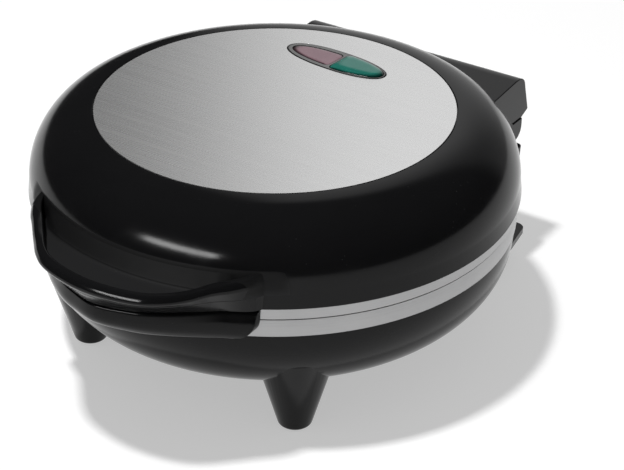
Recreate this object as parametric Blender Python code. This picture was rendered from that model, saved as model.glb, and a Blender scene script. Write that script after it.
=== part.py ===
"""Electric omelette maker: a round, hinged countertop cooker on four legs.

Metres, +Z up, z = 0 at the soles of the feet. The handle faces -Y and the hinge is at +Y.
The origin is the centre of the whole outline on the surface that it stands on. Inside the
functions, x and y are counted from the upright axis of the round body.
"""

import math

import bmesh
import bpy
from mathutils import Vector

# Fits
SEAT_GAP = 0.0003
MERGE_DISTANCE = 0.000001
OVERRUN = 0.002
TRIM_DEPTH = 0.001

# Radius of the round body, which the parts round it follow
LID_RADIUS = 0.105

# Heights of the main levels
STAND_HEIGHT = 0.056
BAND_HEIGHT = 0.0135
LOWER_RIM_HEIGHT = 0.0078

# Bowl of the base
BOWL_SETBACK = 0.002
BOWL_SIDE_WIDTH = 0.035
BOWL_DEPTH = 0.037
BOWL_WIDEST_DROP = 0.0048
BASE_WALL = 0.0025

# Legs and their rubber pads
LEG_SETBACK = 0.020
LEG_ANGLE = math.radians(40.6)
LEG_SOLE_RADIUS = 0.0074
LEG_TAPER = math.radians(15.1)
LEG_SOLE_ROUND = 0.0022
LEG_CROWN_HEIGHT = 0.003
LEG_CROWN_INSET = 0.0015
LEG_TOP_DROP = 0.014
PAD_RADIUS = 0.0046
PAD_THICKNESS = 0.0026
PAD_PROUD = 0.0005

# Dome of the lid
LID_WALL = 0.0025
LID_SIDE_HEIGHT = 0.0058
RIM_LIP_WIDTH = 0.0004
LID_SIDE_DRAFT = 0.0007
SHOULDER_ROUND = 0.0285
DISC_OVERLAP = 0.0002
DISC_THICKNESS = 0.0008
DISC_SIDE_GAP = 0.0006

# Grip halves, swept round the body axis
GRIP_HALF_ANGLE = math.radians(33.5)
GRIP_DEPTH = 0.0226
SEAM_DEPTH = 0.0171
GRIP_RIM_HEIGHT = 0.0115
GRIP_END_RISE = 0.0039
GRIP_RIM_WIDTH = 0.0053
GRIP_RIM_ROUND = 0.0032
GRIP_SHELF_DROP = 0.0053
GRIP_SHELF_DEPTH = 0.0036
GRIP_SHELF_ROUND = 0.0018
GRIP_WALL_HEIGHT = 0.0078
GRIP_WALL = 0.0028
GRIP_SEAM_GAP = 0.0006
LOWER_GRIP_CREASE_DROP = 0.001
LOWER_GRIP_END_WIDTH = 0.002
LOWER_GRIP_SIDE_INSET = 0.00235
LOWER_GRIP_SIDE_DRAFT = 0.0003
LOWER_GRIP_CORNER_ROUND = 0.007
LOWER_GRIP_CORNER_RISE = 0.0015
LOWER_GRIP_BULGE = 0.0045
LOWER_GRIP_BULGE_SHARE = 0.1
LOWER_GRIP_POCKET_FLOOR = 0.0055
LOWER_GRIP_FLOOR_SHARE = 0.3
LOWER_GRIP_TOP_ROUND = 0.0007
BAND_CLEARANCE = 0.001

# Outlines of the grip: share of the half angle, share of the reach beyond the lid's radius
RIM_OUTLINE_SHARES = (
    (0.00, 1.00), (0.18, 0.97), (0.34, 0.893), (0.45, 0.76), (0.55, 0.599),
    (0.69, 0.404), (0.79, 0.30), (0.90, 0.14), (1.00, -0.12),
)
SEAM_OUTLINE_SHARES = (
    (0.00, 1.00), (0.17, 0.877), (0.28, 0.774), (0.43, 0.56), (0.58, 0.332),
    (0.71, 0.165), (0.80, 0.135), (0.88, 0.115), (0.94, 0.05), (1.00, -0.08),
)
RIM_RISE_SHARES = ((0.00, 0.0), (0.42, 0.0), (0.55, 0.10), (0.69, 0.62), (0.82, 0.80), (1.00, 1.0))
GRIP_POCKET_SHARE = 0.55

# Hinge
HINGE_SETOFF = 0.00525
HINGE_RISE = 0.0055
EAR_RADIUS = 0.0061
EAR_OUTER_X = 0.0573
EAR_WIDTH = 0.0098
EAR_STEP = 0.0004
LUG_WIDTH = 0.0111
HINGE_SIDE_GAP = 0.0004
LUG_POCKET_GAP = 0.0008
EAR_NOTCH_GAP = 0.0006
PIN_RADIUS = 0.002
PIN_BLIND_DEPTH = 0.006
PIN_HEAD_RADIUS = 0.0028
PIN_HEAD_LENGTH = 0.0018

# Hinge block of the lid, in its side view: depths from the hinge axis, height over the base rim
BLOCK_SIDE_STEP = 0.0006
BLOCK_REAR_DEPTH = 0.01225
BLOCK_TOP_RISE = 0.0302
BLOCK_BOTTOM_RISE = 0.0088
BLOCK_ROOT_DEPTH = 0.03025
BLOCK_SHOULDER_DEPTH = 0.02155
BLOCK_EDGE_DEPTH = 0.00275
BLOCK_TOP_FALL = 0.0018
BLOCK_EDGE_FALL = 0.0048
BLOCK_EDGE_SETBACK = 0.0043
BLOCK_TOP_SETBACK = 0.0127
BLOCK_HEEL_RISE = 0.0025
BLOCK_HEEL_SETBACK = 0.0061

# Rear block of the base
REAR_BLOCK_SIDE_MARGIN = 0.0053
REAR_BLOCK_SIDE_DRAFT = 0.0022
REAR_BLOCK_SETBACK = 0.00155
REAR_BLOCK_DEPTH = 0.0467
REAR_BLOCK_ROUND = 0.003
REAR_FOOT_EXTENT = 0.0071
REAR_FOOT_THICKNESS = 0.0028
REAR_FOOT_SIDE_MARGIN = 0.0049
REAR_FOOT_SPREAD = 0.004
REAR_FOOT_LENGTH = 0.028
REAR_FOOT_ROUND = 0.0045

# Cooking plates
PLATE_RIM_SETBACK = 0.0012
PLATE_RIM_ROUND = 0.0012
LOWER_RIM_CHAMFER_HEIGHT = 0.0032
LOWER_RIM_CHAMFER_DEPTH = 0.0014
PLATE_STEP_WIDTH = 0.0053
PLATE_BODY_DRAFT = 0.004
PLATE_WALL = 0.003
LOWER_WORKS_DEPTH = 0.021
UPPER_POCKET_DEPTH = 0.012
POCKET_DIVIDER = 0.012
POCKET_CORNER_ROUND = 0.014
POCKET_DRAFT = 0.0025
POCKET_FLOOR_ROUND = 0.004

# Heating elements
ELEMENT_SETBACK = 0.016
ELEMENT_TUBE_RADIUS = 0.0032
ELEMENT_RIDGE_WALL = 0.002
ELEMENT_RIDGE_HEIGHT = 0.005
ELEMENT_OPEN_HALF_WIDTH = 0.01378
ELEMENT_BEND_RADIUS = 0.006
ELEMENT_TAIL_LENGTH = 0.004

# Plate fastening, alike in base and lid
FASTENER_SETBACK = 0.0285
BOSS_RADIUS = 0.0042
POST_RADIUS = 0.0055
SCREW_SHANK_RADIUS = 0.0017
SCREW_HEAD_RADIUS = 0.0034
SCREW_HEAD_HEIGHT = 0.0022
SCREW_BITE = 0.0036
SCREW_HEAD_TOP_SHARE = 0.75
SCREW_HEAD_SIDE_SHARE = 0.5
SCREW_SEAT_THICKNESS = 0.004
WELL_RADIUS = 0.004
SHANK_CLEARANCE = 0.0004

# Heat reflectors
REFLECTOR_SETBACK = 0.0085
REFLECTOR_THICKNESS = 0.0008
REFLECTOR_DISH_MARGIN = 0.0062
REFLECTOR_DISH_SLOPE = 0.0025
REFLECTOR_CLEARANCE = 0.0018
REFLECTOR_HOLE_RADIUS = 0.0095
TAIL_HOLE_GAP = 0.0012

# Thermostat, thermal fuse, terminal block and leads
THERMOSTAT_RADIUS = 0.0075
THERMOSTAT_HEIGHT = 0.0065
THERMOSTAT_FLANGE_LENGTH = 0.026
THERMOSTAT_FLANGE_WIDTH = 0.011
THERMOSTAT_FLANGE_THICKNESS = 0.0012
THERMOSTAT_SCREW_REACH = 0.0102
THERMOSTAT_SCREW_RADIUS = 0.0011
THERMOSTAT_SCREW_HEAD_RADIUS = 0.0021
THERMOSTAT_SCREW_HEAD_HEIGHT = 0.0014
THERMOSTAT_SCREW_BITE = 0.0018
TAB_REACH = 0.0038
TAB_WIDTH = 0.004
TAB_THICKNESS = 0.0008
TAB_LENGTH = 0.008
FUSE_RADIUS = 0.002
FUSE_LENGTH = 0.022
FUSE_X = 0.022
FUSE_PLACE_SHARE = 0.5
FUSE_CLEARANCE = 0.007
TERMINAL_LENGTH = 0.026
TERMINAL_DEPTH = 0.011
TERMINAL_HEIGHT = 0.011
TERMINAL_X = 0.026
TERMINAL_SETBACK = 0.0207
TERMINAL_EDGE_ROUND = 0.0008
TERMINAL_SCREW_RADIUS = 0.0013
TERMINAL_SCREW_HEAD_RADIUS = 0.0024
TERMINAL_SCREW_HEAD_HEIGHT = 0.0015
TERMINAL_SCREW_BITE = 0.0016
TERMINAL_WAY_PITCH = 0.012
TERMINAL_WAY_HEIGHT = 0.008
LEAD_RADIUS = 0.0011
LEAD_END_REACH = 0.005
LEAD_RUN_REACH = 0.013

# Cord inlet in the rear wall of the base
INLET_DROP = 0.022
INLET_BORE_RADIUS = 0.0034
INLET_NECK_RADIUS = 0.0052
INLET_FLANGE_RADIUS = 0.0078
INLET_FLANGE_THICKNESS = 0.0018
INLET_NOSE_LENGTH = 0.0026
INLET_NOSE_RADIUS = 0.0062

# Window in the lid's disc
WINDOW_X = -0.002
WINDOW_SETBACK = 0.0264
WINDOW_TURN = math.radians(-3.9)
WINDOW_LENGTH_SHARE = 0.3395
WINDOW_WIDTH_SHARE = 0.1145
WINDOW_GAP = 0.0005
WINDOW_POWER = 2.2
BEZEL_PROUD = 0.0002
RED_LENS_INSET = 0.0024
GREEN_LENS_INSET = 0.001
LENS_SPLIT_X = -0.0006
LENS_WEB = 0.0014
LENS_CORNER_ROUND = 0.0024
LENS_DOME_WIDTH = 0.0042
RED_LENS_RISE = 0.0003
GREEN_LENS_RISE = 0.0016

# Lamps and their holder under the window
HOLDER_LENGTH_SHARE = 0.853
HOLDER_EAR_SHARE = 0.446
HOLDER_SCREW_SHARE = 1.182
LAMP_PLACE_SHARE = 0.407
LAMP_LENGTH_SHARE = 0.562
HOLDER_WIDTH = 0.012
HOLDER_DEPTH = 0.0076
HOLDER_WALL = 0.0012
LAMP_RADIUS = 0.0022
HOLDER_SCREW_RADIUS = 0.0011
HOLDER_SCREW_HEAD_RADIUS = 0.002
HOLDER_SCREW_HEAD_HEIGHT = 0.0013
HOLDER_SCREW_BITE = 0.0014

# Facets
FLATNESS = math.radians(0.02)
SHARP_ANGLE = math.radians(32.0)
BODY_SIDES = 48
ROUND_SIDES = 16
SMALL_SIDES = 10
ARC_STEPS = 6
GRIP_STEPS = 24
GRIP_POCKET_STEPS = 6
POCKET_ARC_STEPS = 14
CORNER_STEPS = 3
BEND_STEPS = 4
EYE_STEPS = 12
ELEMENT_STEPS = 44
LEAD_STEPS = 8
TUBE_BEVEL_STEPS = 1

# Reaches from the body axis, worked out from the sizes above
BOWL_RADIUS = LID_RADIUS - BOWL_SETBACK
BOWL_FLOOR_RADIUS = BOWL_RADIUS - BOWL_SIDE_WIDTH
LEG_CIRCLE_RADIUS = BOWL_RADIUS - LEG_SETBACK
SHOULDER_CENTRE = LID_RADIUS - LID_SIDE_DRAFT - SHOULDER_ROUND
DISC_RADIUS = SHOULDER_CENTRE + DISC_OVERLAP
GRIP_REACH = LID_RADIUS + GRIP_DEPTH
SEAM_REACH = LID_RADIUS + SEAM_DEPTH
GRIP_SHELF_REACH = LID_RADIUS + GRIP_SHELF_DEPTH
LOWER_GRIP_HALF_WIDTH = LID_RADIUS * math.sin(GRIP_HALF_ANGLE) - LOWER_GRIP_SIDE_INSET
HINGE_REACH = LID_RADIUS + HINGE_SETOFF
EAR_INNER_X = EAR_OUTER_X - EAR_WIDTH
LUG_OUTER_X = EAR_INNER_X - HINGE_SIDE_GAP
LUG_INNER_X = LUG_OUTER_X - LUG_WIDTH
BLOCK_HALF_WIDTH = EAR_OUTER_X - BLOCK_SIDE_STEP
BLOCK_REAR_REACH = HINGE_REACH + BLOCK_REAR_DEPTH
BLOCK_ROOT_REACH = HINGE_REACH - BLOCK_ROOT_DEPTH
BLOCK_SHOULDER_REACH = HINGE_REACH - BLOCK_SHOULDER_DEPTH
BLOCK_EDGE_REACH = HINGE_REACH - BLOCK_EDGE_DEPTH
REAR_BLOCK_HALF_WIDTH = EAR_OUTER_X + REAR_BLOCK_SIDE_MARGIN
REAR_BLOCK_REACH = HINGE_REACH - REAR_BLOCK_SETBACK
REAR_BLOCK_FRONT_REACH = REAR_BLOCK_REACH - REAR_BLOCK_DEPTH
REAR_FOOT_HALF_WIDTH = REAR_BLOCK_HALF_WIDTH + REAR_FOOT_SIDE_MARGIN
PLATE_RIM_RADIUS = LID_RADIUS - PLATE_RIM_SETBACK
PLATE_BODY_TOP_RADIUS = PLATE_RIM_RADIUS - PLATE_STEP_WIDTH
PLATE_BODY_RADIUS = PLATE_BODY_TOP_RADIUS - PLATE_BODY_DRAFT
POCKET_RADIUS = PLATE_BODY_RADIUS - PLATE_WALL
FASTENER_CIRCLE_RADIUS = PLATE_BODY_RADIUS - FASTENER_SETBACK
ELEMENT_RADIUS = FASTENER_CIRCLE_RADIUS - ELEMENT_SETBACK
ELEMENT_OPEN_ANGLE = math.asin(ELEMENT_OPEN_HALF_WIDTH / ELEMENT_RADIUS)
REFLECTOR_RADIUS = PLATE_BODY_RADIUS - REFLECTOR_SETBACK
REFLECTOR_DISH_RADIUS = ELEMENT_RADIUS + REFLECTOR_DISH_MARGIN
TERMINAL_Y = REAR_BLOCK_REACH - TERMINAL_SETBACK
FUSE_Y = TERMINAL_Y * FUSE_PLACE_SHARE
WINDOW_Y = DISC_RADIUS - WINDOW_SETBACK
WINDOW_HALF_LENGTH = DISC_RADIUS * WINDOW_LENGTH_SHARE
WINDOW_HALF_WIDTH = DISC_RADIUS * WINDOW_WIDTH_SHARE
HOLDER_HALF_LENGTH = WINDOW_HALF_LENGTH * HOLDER_LENGTH_SHARE
HOLDER_EAR_LENGTH = WINDOW_HALF_LENGTH * HOLDER_EAR_SHARE
HOLDER_SCREW_REACH = WINDOW_HALF_LENGTH * HOLDER_SCREW_SHARE
LAMP_X = WINDOW_HALF_LENGTH * LAMP_PLACE_SHARE
LAMP_LENGTH = WINDOW_HALF_LENGTH * LAMP_LENGTH_SHARE

# Levels worked out from the sizes above
BASE_RIM_Z = STAND_HEIGHT
LOWER_PLATE_TOP_Z = BASE_RIM_Z + LOWER_RIM_HEIGHT
UPPER_PLATE_FACE_Z = LOWER_PLATE_TOP_Z + SEAT_GAP
LID_RIM_Z = BASE_RIM_Z + BAND_HEIGHT
SHOULDER_Z = LID_RIM_Z + LID_SIDE_HEIGHT
LID_TOP_Z = SHOULDER_Z + SHOULDER_ROUND
BOWL_FLOOR_Z = BASE_RIM_Z - BOWL_DEPTH
BOWL_WIDEST_Z = BASE_RIM_Z - BOWL_WIDEST_DROP
HINGE_Z = BASE_RIM_Z + HINGE_RISE
REAR_FOOT_Z = BOWL_FLOOR_Z - REAR_FOOT_EXTENT
REAR_FLOOR_Z = REAR_FOOT_Z + REAR_FOOT_THICKNESS
FUSE_Z = BOWL_FLOOR_Z + FUSE_CLEARANCE
LOWER_POCKET_DEPTH = BOWL_DEPTH - LOWER_WORKS_DEPTH
DISC_SEAT_Z = LID_TOP_Z - DISC_THICKNESS - SEAT_GAP
LID_CEILING_Z = DISC_SEAT_Z - LID_WALL
AXIS_Y = (GRIP_REACH - BLOCK_REAR_REACH) / 2
BODY_ORIGIN = Vector((0.0, AXIS_Y, 0.0))
WINDOW_PLACE = (WINDOW_X, WINDOW_Y, 0.0)
WINDOW_ROTATION = (0.0, 0.0, WINDOW_TURN)
NO_SHIFT = (0.0, 0.0, 0.0)
NO_TURN = (0.0, 0.0, 0.0)


def smooth_value(table, share):
    """Read a table of (share, value) as one smooth curve."""
    last = len(table) - 2
    index = 0
    while index < last and share > table[index + 1][0]:
        index += 1
    (x0, y0), (x1, y1) = table[index], table[index + 1]
    before = table[max(index - 1, 0)]
    after = table[min(index + 2, last + 1)]
    slope0 = (y1 - before[1]) / (x1 - before[0])
    slope1 = (after[1] - y0) / (after[0] - x0)
    if index == 0:
        slope0 = 0.0
    span = x1 - x0
    t = (share - x0) / span
    return (
        y0 * (1 + 2 * t) * (1 - t) ** 2
        + slope0 * span * t * (1 - t) ** 2
        + y1 * t * t * (3 - 2 * t)
        + slope1 * span * t * t * (t - 1)
    )


def circle(radius, sides, centre=(0.0, 0.0)):
    """Return a round outline about a centre."""
    turns = (math.tau * step / sides for step in range(sides))
    return [(centre[0] + radius * math.cos(t), centre[1] + radius * math.sin(t)) for t in turns]


def arc(centre, radii, start, end, steps):
    """Return points on an elliptic arc between two angles."""
    points = []
    for step in range(steps + 1):
        t = start + (end - start) * step / steps
        points.append((centre[0] + radii[0] * math.cos(t), centre[1] + radii[1] * math.sin(t)))
    return points


def bent(start, pull, end):
    """Return points on a smooth bend from start to end, pulled towards a third point."""
    points = []
    for step in range(BEND_STEPS + 1):
        t = step / BEND_STEPS
        points.append(tuple(
            a * (1 - t) ** 2 + 2 * b * t * (1 - t) + c * t * t for a, b, c in zip(start, pull, end)
        ))
    return points


def finish(bm):
    """Close a bmesh into a mesh with its faces pointing out."""
    bmesh.ops.remove_doubles(bm, verts=bm.verts, dist=MERGE_DISTANCE)
    bmesh.ops.recalc_face_normals(bm, faces=bm.faces)
    mesh = bpy.data.meshes.new("shape")
    bm.to_mesh(mesh)
    bm.free()
    return mesh


def turned(profile, sides):
    """Turn a closed profile of (radius, height) points about the upright axis."""
    bm = bmesh.new()
    verts = [bm.verts.new((radius, 0.0, height)) for radius, height in profile]
    edges = []
    for first, second in zip(verts, verts[1:] + verts[:1]):
        if first.co.x > 0.0 or second.co.x > 0.0:
            edges.append(bm.edges.new((first, second)))
    bmesh.ops.spin(bm, geom=verts + edges, axis=(0, 0, 1), cent=(0, 0, 0), angle=math.tau, steps=sides)
    return finish(bm)


def prism(outline, low, high, along="Z"):
    """Extrude an outline from low to high; across X it is (y, z), across Y it is (x, z)."""
    places = {
        "X": lambda u, v: (low, u, v),
        "Y": lambda u, v: (u, low, v),
        "Z": lambda u, v: (u, v, low),
    }
    step = {"X": (high - low, 0, 0), "Y": (0, high - low, 0), "Z": (0, 0, high - low)}[along]
    bm = bmesh.new()
    face = bm.faces.new([bm.verts.new(places[along](u, v)) for u, v in outline])
    made = bmesh.ops.extrude_face_region(bm, geom=[face])
    moved = [item for item in made["geom"] if isinstance(item, bmesh.types.BMVert)]
    bmesh.ops.translate(bm, vec=step, verts=moved)
    return finish(bm)


def loft(rings):
    """Join closed rings of points, one after the other, and cap both ends."""
    bm = bmesh.new()
    loops = [[bm.verts.new(point) for point in ring] for ring in rings]
    for near, far in zip(loops, loops[1:]):
        for index in range(len(near)):
            following = (index + 1) % len(near)
            bm.faces.new((near[index], near[following], far[following], far[index]))
    bm.faces.new(loops[0])
    bm.faces.new(loops[-1])
    bmesh.ops.connect_verts_nonplanar(bm, angle_limit=FLATNESS, faces=bm.faces)
    return finish(bm)


def box(low, high):
    """Return a box between two corners."""
    outline = [(low[0], low[1]), (high[0], low[1]), (high[0], high[1]), (low[0], high[1])]
    return prism(outline, low[2], high[2])


def hull(points):
    """Return the convex hull of some points."""
    bm = bmesh.new()
    for point in points:
        bm.verts.new(point)
    made = bmesh.ops.convex_hull(bm, input=bm.verts)
    spare = [item for item in made["geom_interior"] if isinstance(item, bmesh.types.BMVert)]
    bmesh.ops.delete(bm, geom=spare, context="VERTS")
    return finish(bm)


def shade(mesh):
    """Shade a mesh smooth but keep its corners sharp."""
    mesh.shade_smooth()
    mesh.set_sharp_from_angle(angle=SHARP_ANGLE)


def empty(name, place):
    """Add an empty that carries other pieces."""
    made = bpy.data.objects.new(name, None)
    made.location = place
    bpy.context.scene.collection.objects.link(made)
    return made


def material(name, colour, roughness, metallic=0.0, alpha=1.0):
    """Add a material of one finish."""
    made = bpy.data.materials.new(name)
    made.use_nodes = True
    shader = made.node_tree.nodes["Principled BSDF"]
    shader.inputs["Base Color"].default_value = (*colour, 1.0)
    shader.inputs["Roughness"].default_value = roughness
    shader.inputs["Metallic"].default_value = metallic
    shader.inputs["Alpha"].default_value = alpha
    made.diffuse_color = (*colour, alpha)
    return made


def piece(name, shape, finish_material, carrier, at=NO_SHIFT, turn=NO_TURN):
    """Add a sub-part; its place is counted from the body axis at the soles."""
    made = bpy.data.objects.new(name, shape)
    made.parent = carrier
    made.location = Vector(at) + BODY_ORIGIN - carrier.location
    made.rotation_euler = turn
    if not shape.materials:
        shape.materials.append(finish_material)
        if isinstance(shape, bpy.types.Mesh):
            shade(shape)
    bpy.context.scene.collection.objects.link(made)
    return made


def combine(owner, name, shape, operation, at, turn):
    """Join a guide solid to an object, or cut it away, and leave the guide hidden."""
    guide = bpy.data.objects.new(f"{owner.name}_{name}", shape)
    guide.parent = owner
    guide.location = at
    guide.rotation_euler = turn
    guide.hide_render = True
    guide.display_type = "WIRE"
    bpy.context.scene.collection.objects.link(guide)
    change = owner.modifiers.new(name, "BOOLEAN")
    change.operation = operation
    change.solver = "EXACT"
    change.object = guide
    return guide


def join(owner, name, shape, at=NO_SHIFT, turn=NO_TURN):
    """Join a shape to an object."""
    return combine(owner, name, shape, "UNION", at, turn)


def cut(owner, name, shape, at=NO_SHIFT, turn=NO_TURN):
    """Cut a shape from an object."""
    return combine(owner, name, shape, "DIFFERENCE", at, turn)


def fastener_places():
    """Return the plan places of the four plate screws."""
    reach = FASTENER_CIRCLE_RADIUS * math.sqrt(0.5)
    return [(x * reach, y * reach) for y in (-1, 1) for x in (-1, 1)]


def leg_places():
    """Return the plan places of the four legs, with their names."""
    x = LEG_CIRCLE_RADIUS * math.sin(LEG_ANGLE)
    y = LEG_CIRCLE_RADIUS * math.cos(LEG_ANGLE)
    ends = (("front", -1), ("rear", 1))
    sides = (("left", -1), ("right", 1))
    return [(f"{end}_{side}", (sx * x, sy * y)) for end, sy in ends for side, sx in sides]


def polar_ring(angle, section):
    """Stand a section of (radius, height) points at an angle from the front."""
    across, ahead = math.sin(angle), -math.cos(angle)
    return [(radius * across, radius * ahead, height) for radius, height in section]


def grip_stations():
    """Return each station round the grip, closer towards its ends: its angle and its share."""
    for step in range(GRIP_STEPS + 1):
        share = math.sin((step / GRIP_STEPS - 0.5) * math.pi)
        yield GRIP_HALF_ANGLE * share, abs(share)


def outline_radius(shares, reach, share):
    """Return the radius of a grip outline at a station."""
    return LID_RADIUS + (reach - LID_RADIUS) * smooth_value(shares, share)


def dome_radius(height):
    """Return the lid's outer radius at a height on its shoulder."""
    rise = min(max(height - SHOULDER_Z, 0.0), SHOULDER_ROUND)
    return SHOULDER_CENTRE + math.sqrt(SHOULDER_ROUND**2 - rise**2)


def upper_grip_section(share):
    """Return the section of the lid's half of the grip, bottom inner corner first."""
    rim_z = LID_RIM_Z + GRIP_RIM_HEIGHT + GRIP_END_RISE * smooth_value(RIM_RISE_SHARES, share)
    shelf_z = LID_RIM_Z + GRIP_RIM_HEIGHT - GRIP_SHELF_DROP
    wall_z = shelf_z + GRIP_WALL_HEIGHT
    wall = dome_radius(wall_z)
    anchor = wall - 2 * LID_WALL
    outer = max(outline_radius(RIM_OUTLINE_SHARES, GRIP_REACH, share), wall)
    seam = outline_radius(SEAM_OUTLINE_SHARES, SEAM_REACH, share)
    inner = max(outer - GRIP_RIM_WIDTH, wall - LID_WALL / 2)
    shelf = min(GRIP_SHELF_REACH, inner)
    start = min(wall, shelf - LID_WALL / 4)
    quarter = (outer - inner) / 4
    section = [(anchor, LID_RIM_Z - TRIM_DEPTH), (anchor, wall_z), (start, wall_z)]
    corner = (min(GRIP_SHELF_ROUND, shelf - start), GRIP_SHELF_ROUND)
    centre = (shelf, shelf_z + GRIP_SHELF_ROUND)
    section += arc(centre, corner, math.pi, 1.5 * math.pi, CORNER_STEPS)
    if inner - shelf > MERGE_DISTANCE:
        section.append((inner, shelf_z))
    else:
        section.append((inner, shelf_z + GRIP_RIM_ROUND / 8))
    section.append((inner, rim_z - GRIP_RIM_ROUND / 2))
    section.append((inner + quarter, rim_z))
    section.append((outer - quarter, rim_z - GRIP_RIM_ROUND / 4))
    section.append((outer, rim_z - GRIP_RIM_ROUND))
    lean = (outer - seam) / (rim_z - GRIP_RIM_ROUND - LID_RIM_Z)
    section.append((seam - lean * TRIM_DEPTH, LID_RIM_Z - TRIM_DEPTH))
    return section


def lower_grip_section(share):
    """Return the section of the base's half of the grip, bottom inner corner first."""
    inner = PLATE_RIM_RADIUS + BAND_CLEARANCE
    root = BOWL_RADIUS - BASE_WALL / 2
    seam = outline_radius(SEAM_OUTLINE_SHARES, SEAM_REACH, share)
    outer = max(seam, inner + LOWER_GRIP_END_WIDTH)
    top_z = LID_RIM_Z - GRIP_SEAM_GAP
    crease_z = BASE_RIM_Z - LOWER_GRIP_CREASE_DROP
    belly_z = crease_z + (top_z - crease_z) * LOWER_GRIP_BULGE_SHARE
    belly = (outer + LOWER_GRIP_BULGE, belly_z)
    flank = bent((BOWL_RADIUS, crease_z), belly, (outer, top_z - LOWER_GRIP_TOP_ROUND))
    return [
        (root, crease_z),
        *flank,
        (outer - LOWER_GRIP_TOP_ROUND, top_z),
        (inner, top_z),
        (inner, BASE_RIM_Z),
        (root, BASE_RIM_Z),
    ]


def upper_grip():
    """Return the lid's half of the grip as one swept solid."""
    return loft([polar_ring(angle, upper_grip_section(share)) for angle, share in grip_stations()])


def lower_grip():
    """Return the base's half of the grip as one swept solid."""
    return loft([polar_ring(angle, lower_grip_section(share)) for angle, share in grip_stations()])


def grip_pocket(inner, mouth_z, floor_z):
    """Return the hollow of the lower grip half, open where the halves meet."""
    rings = []
    for step in range(GRIP_POCKET_STEPS + 1):
        share = GRIP_POCKET_SHARE * (2 * step / GRIP_POCKET_STEPS - 1)
        outer = outline_radius(SEAM_OUTLINE_SHARES, SEAM_REACH, abs(share)) - GRIP_WALL
        deep = inner + (outer - inner) * LOWER_GRIP_FLOOR_SHARE
        middle_z = (mouth_z + floor_z) / 2
        section = [(inner, mouth_z), (inner, floor_z), (deep, floor_z), (outer, middle_z), (outer, mouth_z)]
        rings.append(polar_ring(GRIP_HALF_ANGLE * share, section))
    return loft(rings)


def lower_grip_corner(side):
    """Return what is cut off below one end of the lower grip to round its corner."""
    low = BASE_RIM_Z + LOWER_GRIP_CORNER_RISE
    centre = (
        LOWER_GRIP_HALF_WIDTH - LOWER_GRIP_SIDE_DRAFT - LOWER_GRIP_CORNER_ROUND,
        low + LOWER_GRIP_CORNER_ROUND,
    )
    radii = (LOWER_GRIP_CORNER_ROUND, LOWER_GRIP_CORNER_ROUND)
    far = LOWER_GRIP_HALF_WIDTH + LOWER_GRIP_CORNER_ROUND
    top = LID_RIM_Z + OVERRUN
    outline = [(LOWER_GRIP_HALF_WIDTH, top)] + arc(centre, radii, 0.0, -math.pi / 2, ARC_STEPS)
    below = BASE_RIM_Z - LOWER_GRIP_CREASE_DROP - OVERRUN
    outline += [(centre[0], below), (far, below), (far, top)]
    return prism([(side * x, z) for x, z in outline], -GRIP_REACH, 0.0, "Y")


def bowl_profile(offset, rim_z):
    """Return the bowl's outline from the floor's middle to the rim's middle, drawn in by an offset."""
    across = BOWL_RADIUS - BOWL_FLOOR_RADIUS - offset
    down = BOWL_DEPTH - BOWL_WIDEST_DROP - offset
    rim_turn = math.asin(min(BOWL_WIDEST_DROP / down, 1.0))
    side = arc((BOWL_FLOOR_RADIUS, BOWL_WIDEST_Z), (across, down), -math.pi / 2, rim_turn, ARC_STEPS)
    if rim_z > BASE_RIM_Z:
        side.append((side[-1][0], rim_z))
    return [(0.0, side[0][1])] + side + [(0.0, rim_z)]


def dome_profile():
    """Return the lid's outline from the middle of its underside to the middle of its top."""
    radii = (SHOULDER_ROUND, SHOULDER_ROUND)
    shoulder = arc((SHOULDER_CENTRE, SHOULDER_Z), radii, 0.0, math.pi / 2, ARC_STEPS)
    low = LID_RIM_Z - OVERRUN
    return [(0.0, low), (LID_RADIUS, low), (LID_RADIUS, LID_RIM_Z)] + shoulder + [(0.0, LID_TOP_Z)]


def dome_cavity_profile():
    """Return the hollow of the lid, a wall's thickness inside its outline."""
    inner = SHOULDER_ROUND - LID_WALL
    ceiling_turn = math.asin(min((LID_CEILING_Z - SHOULDER_Z) / inner, 1.0))
    side = arc((SHOULDER_CENTRE, SHOULDER_Z), (inner, inner), 0.0, ceiling_turn, ARC_STEPS)
    mouth = LID_RADIUS - RIM_LIP_WIDTH
    step_z = LID_RIM_Z - SEAT_GAP / 4
    rim = LID_RADIUS - LID_WALL
    below = [(0.0, BASE_RIM_Z), (mouth, BASE_RIM_Z), (mouth, step_z), (rim, step_z)]
    return below + side + [(0.0, LID_CEILING_Z)]


def rear_block():
    """Return the hinge block of the base, a little narrower at its foot."""
    rings = []
    narrow = REAR_BLOCK_HALF_WIDTH - REAR_BLOCK_SIDE_DRAFT
    for z, half in ((REAR_FOOT_Z, narrow), (BASE_RIM_Z, REAR_BLOCK_HALF_WIDTH)):
        corner = (half - REAR_BLOCK_ROUND, REAR_BLOCK_REACH - REAR_BLOCK_ROUND)
        right = [(half, REAR_BLOCK_FRONT_REACH)]
        right += arc(corner, (REAR_BLOCK_ROUND, REAR_BLOCK_ROUND), 0.0, math.pi / 2, CORNER_STEPS)
        rings.append([(x, y, z) for x, y in right] + [(-x, y, z) for x, y in reversed(right)])
    return loft(rings)


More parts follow.
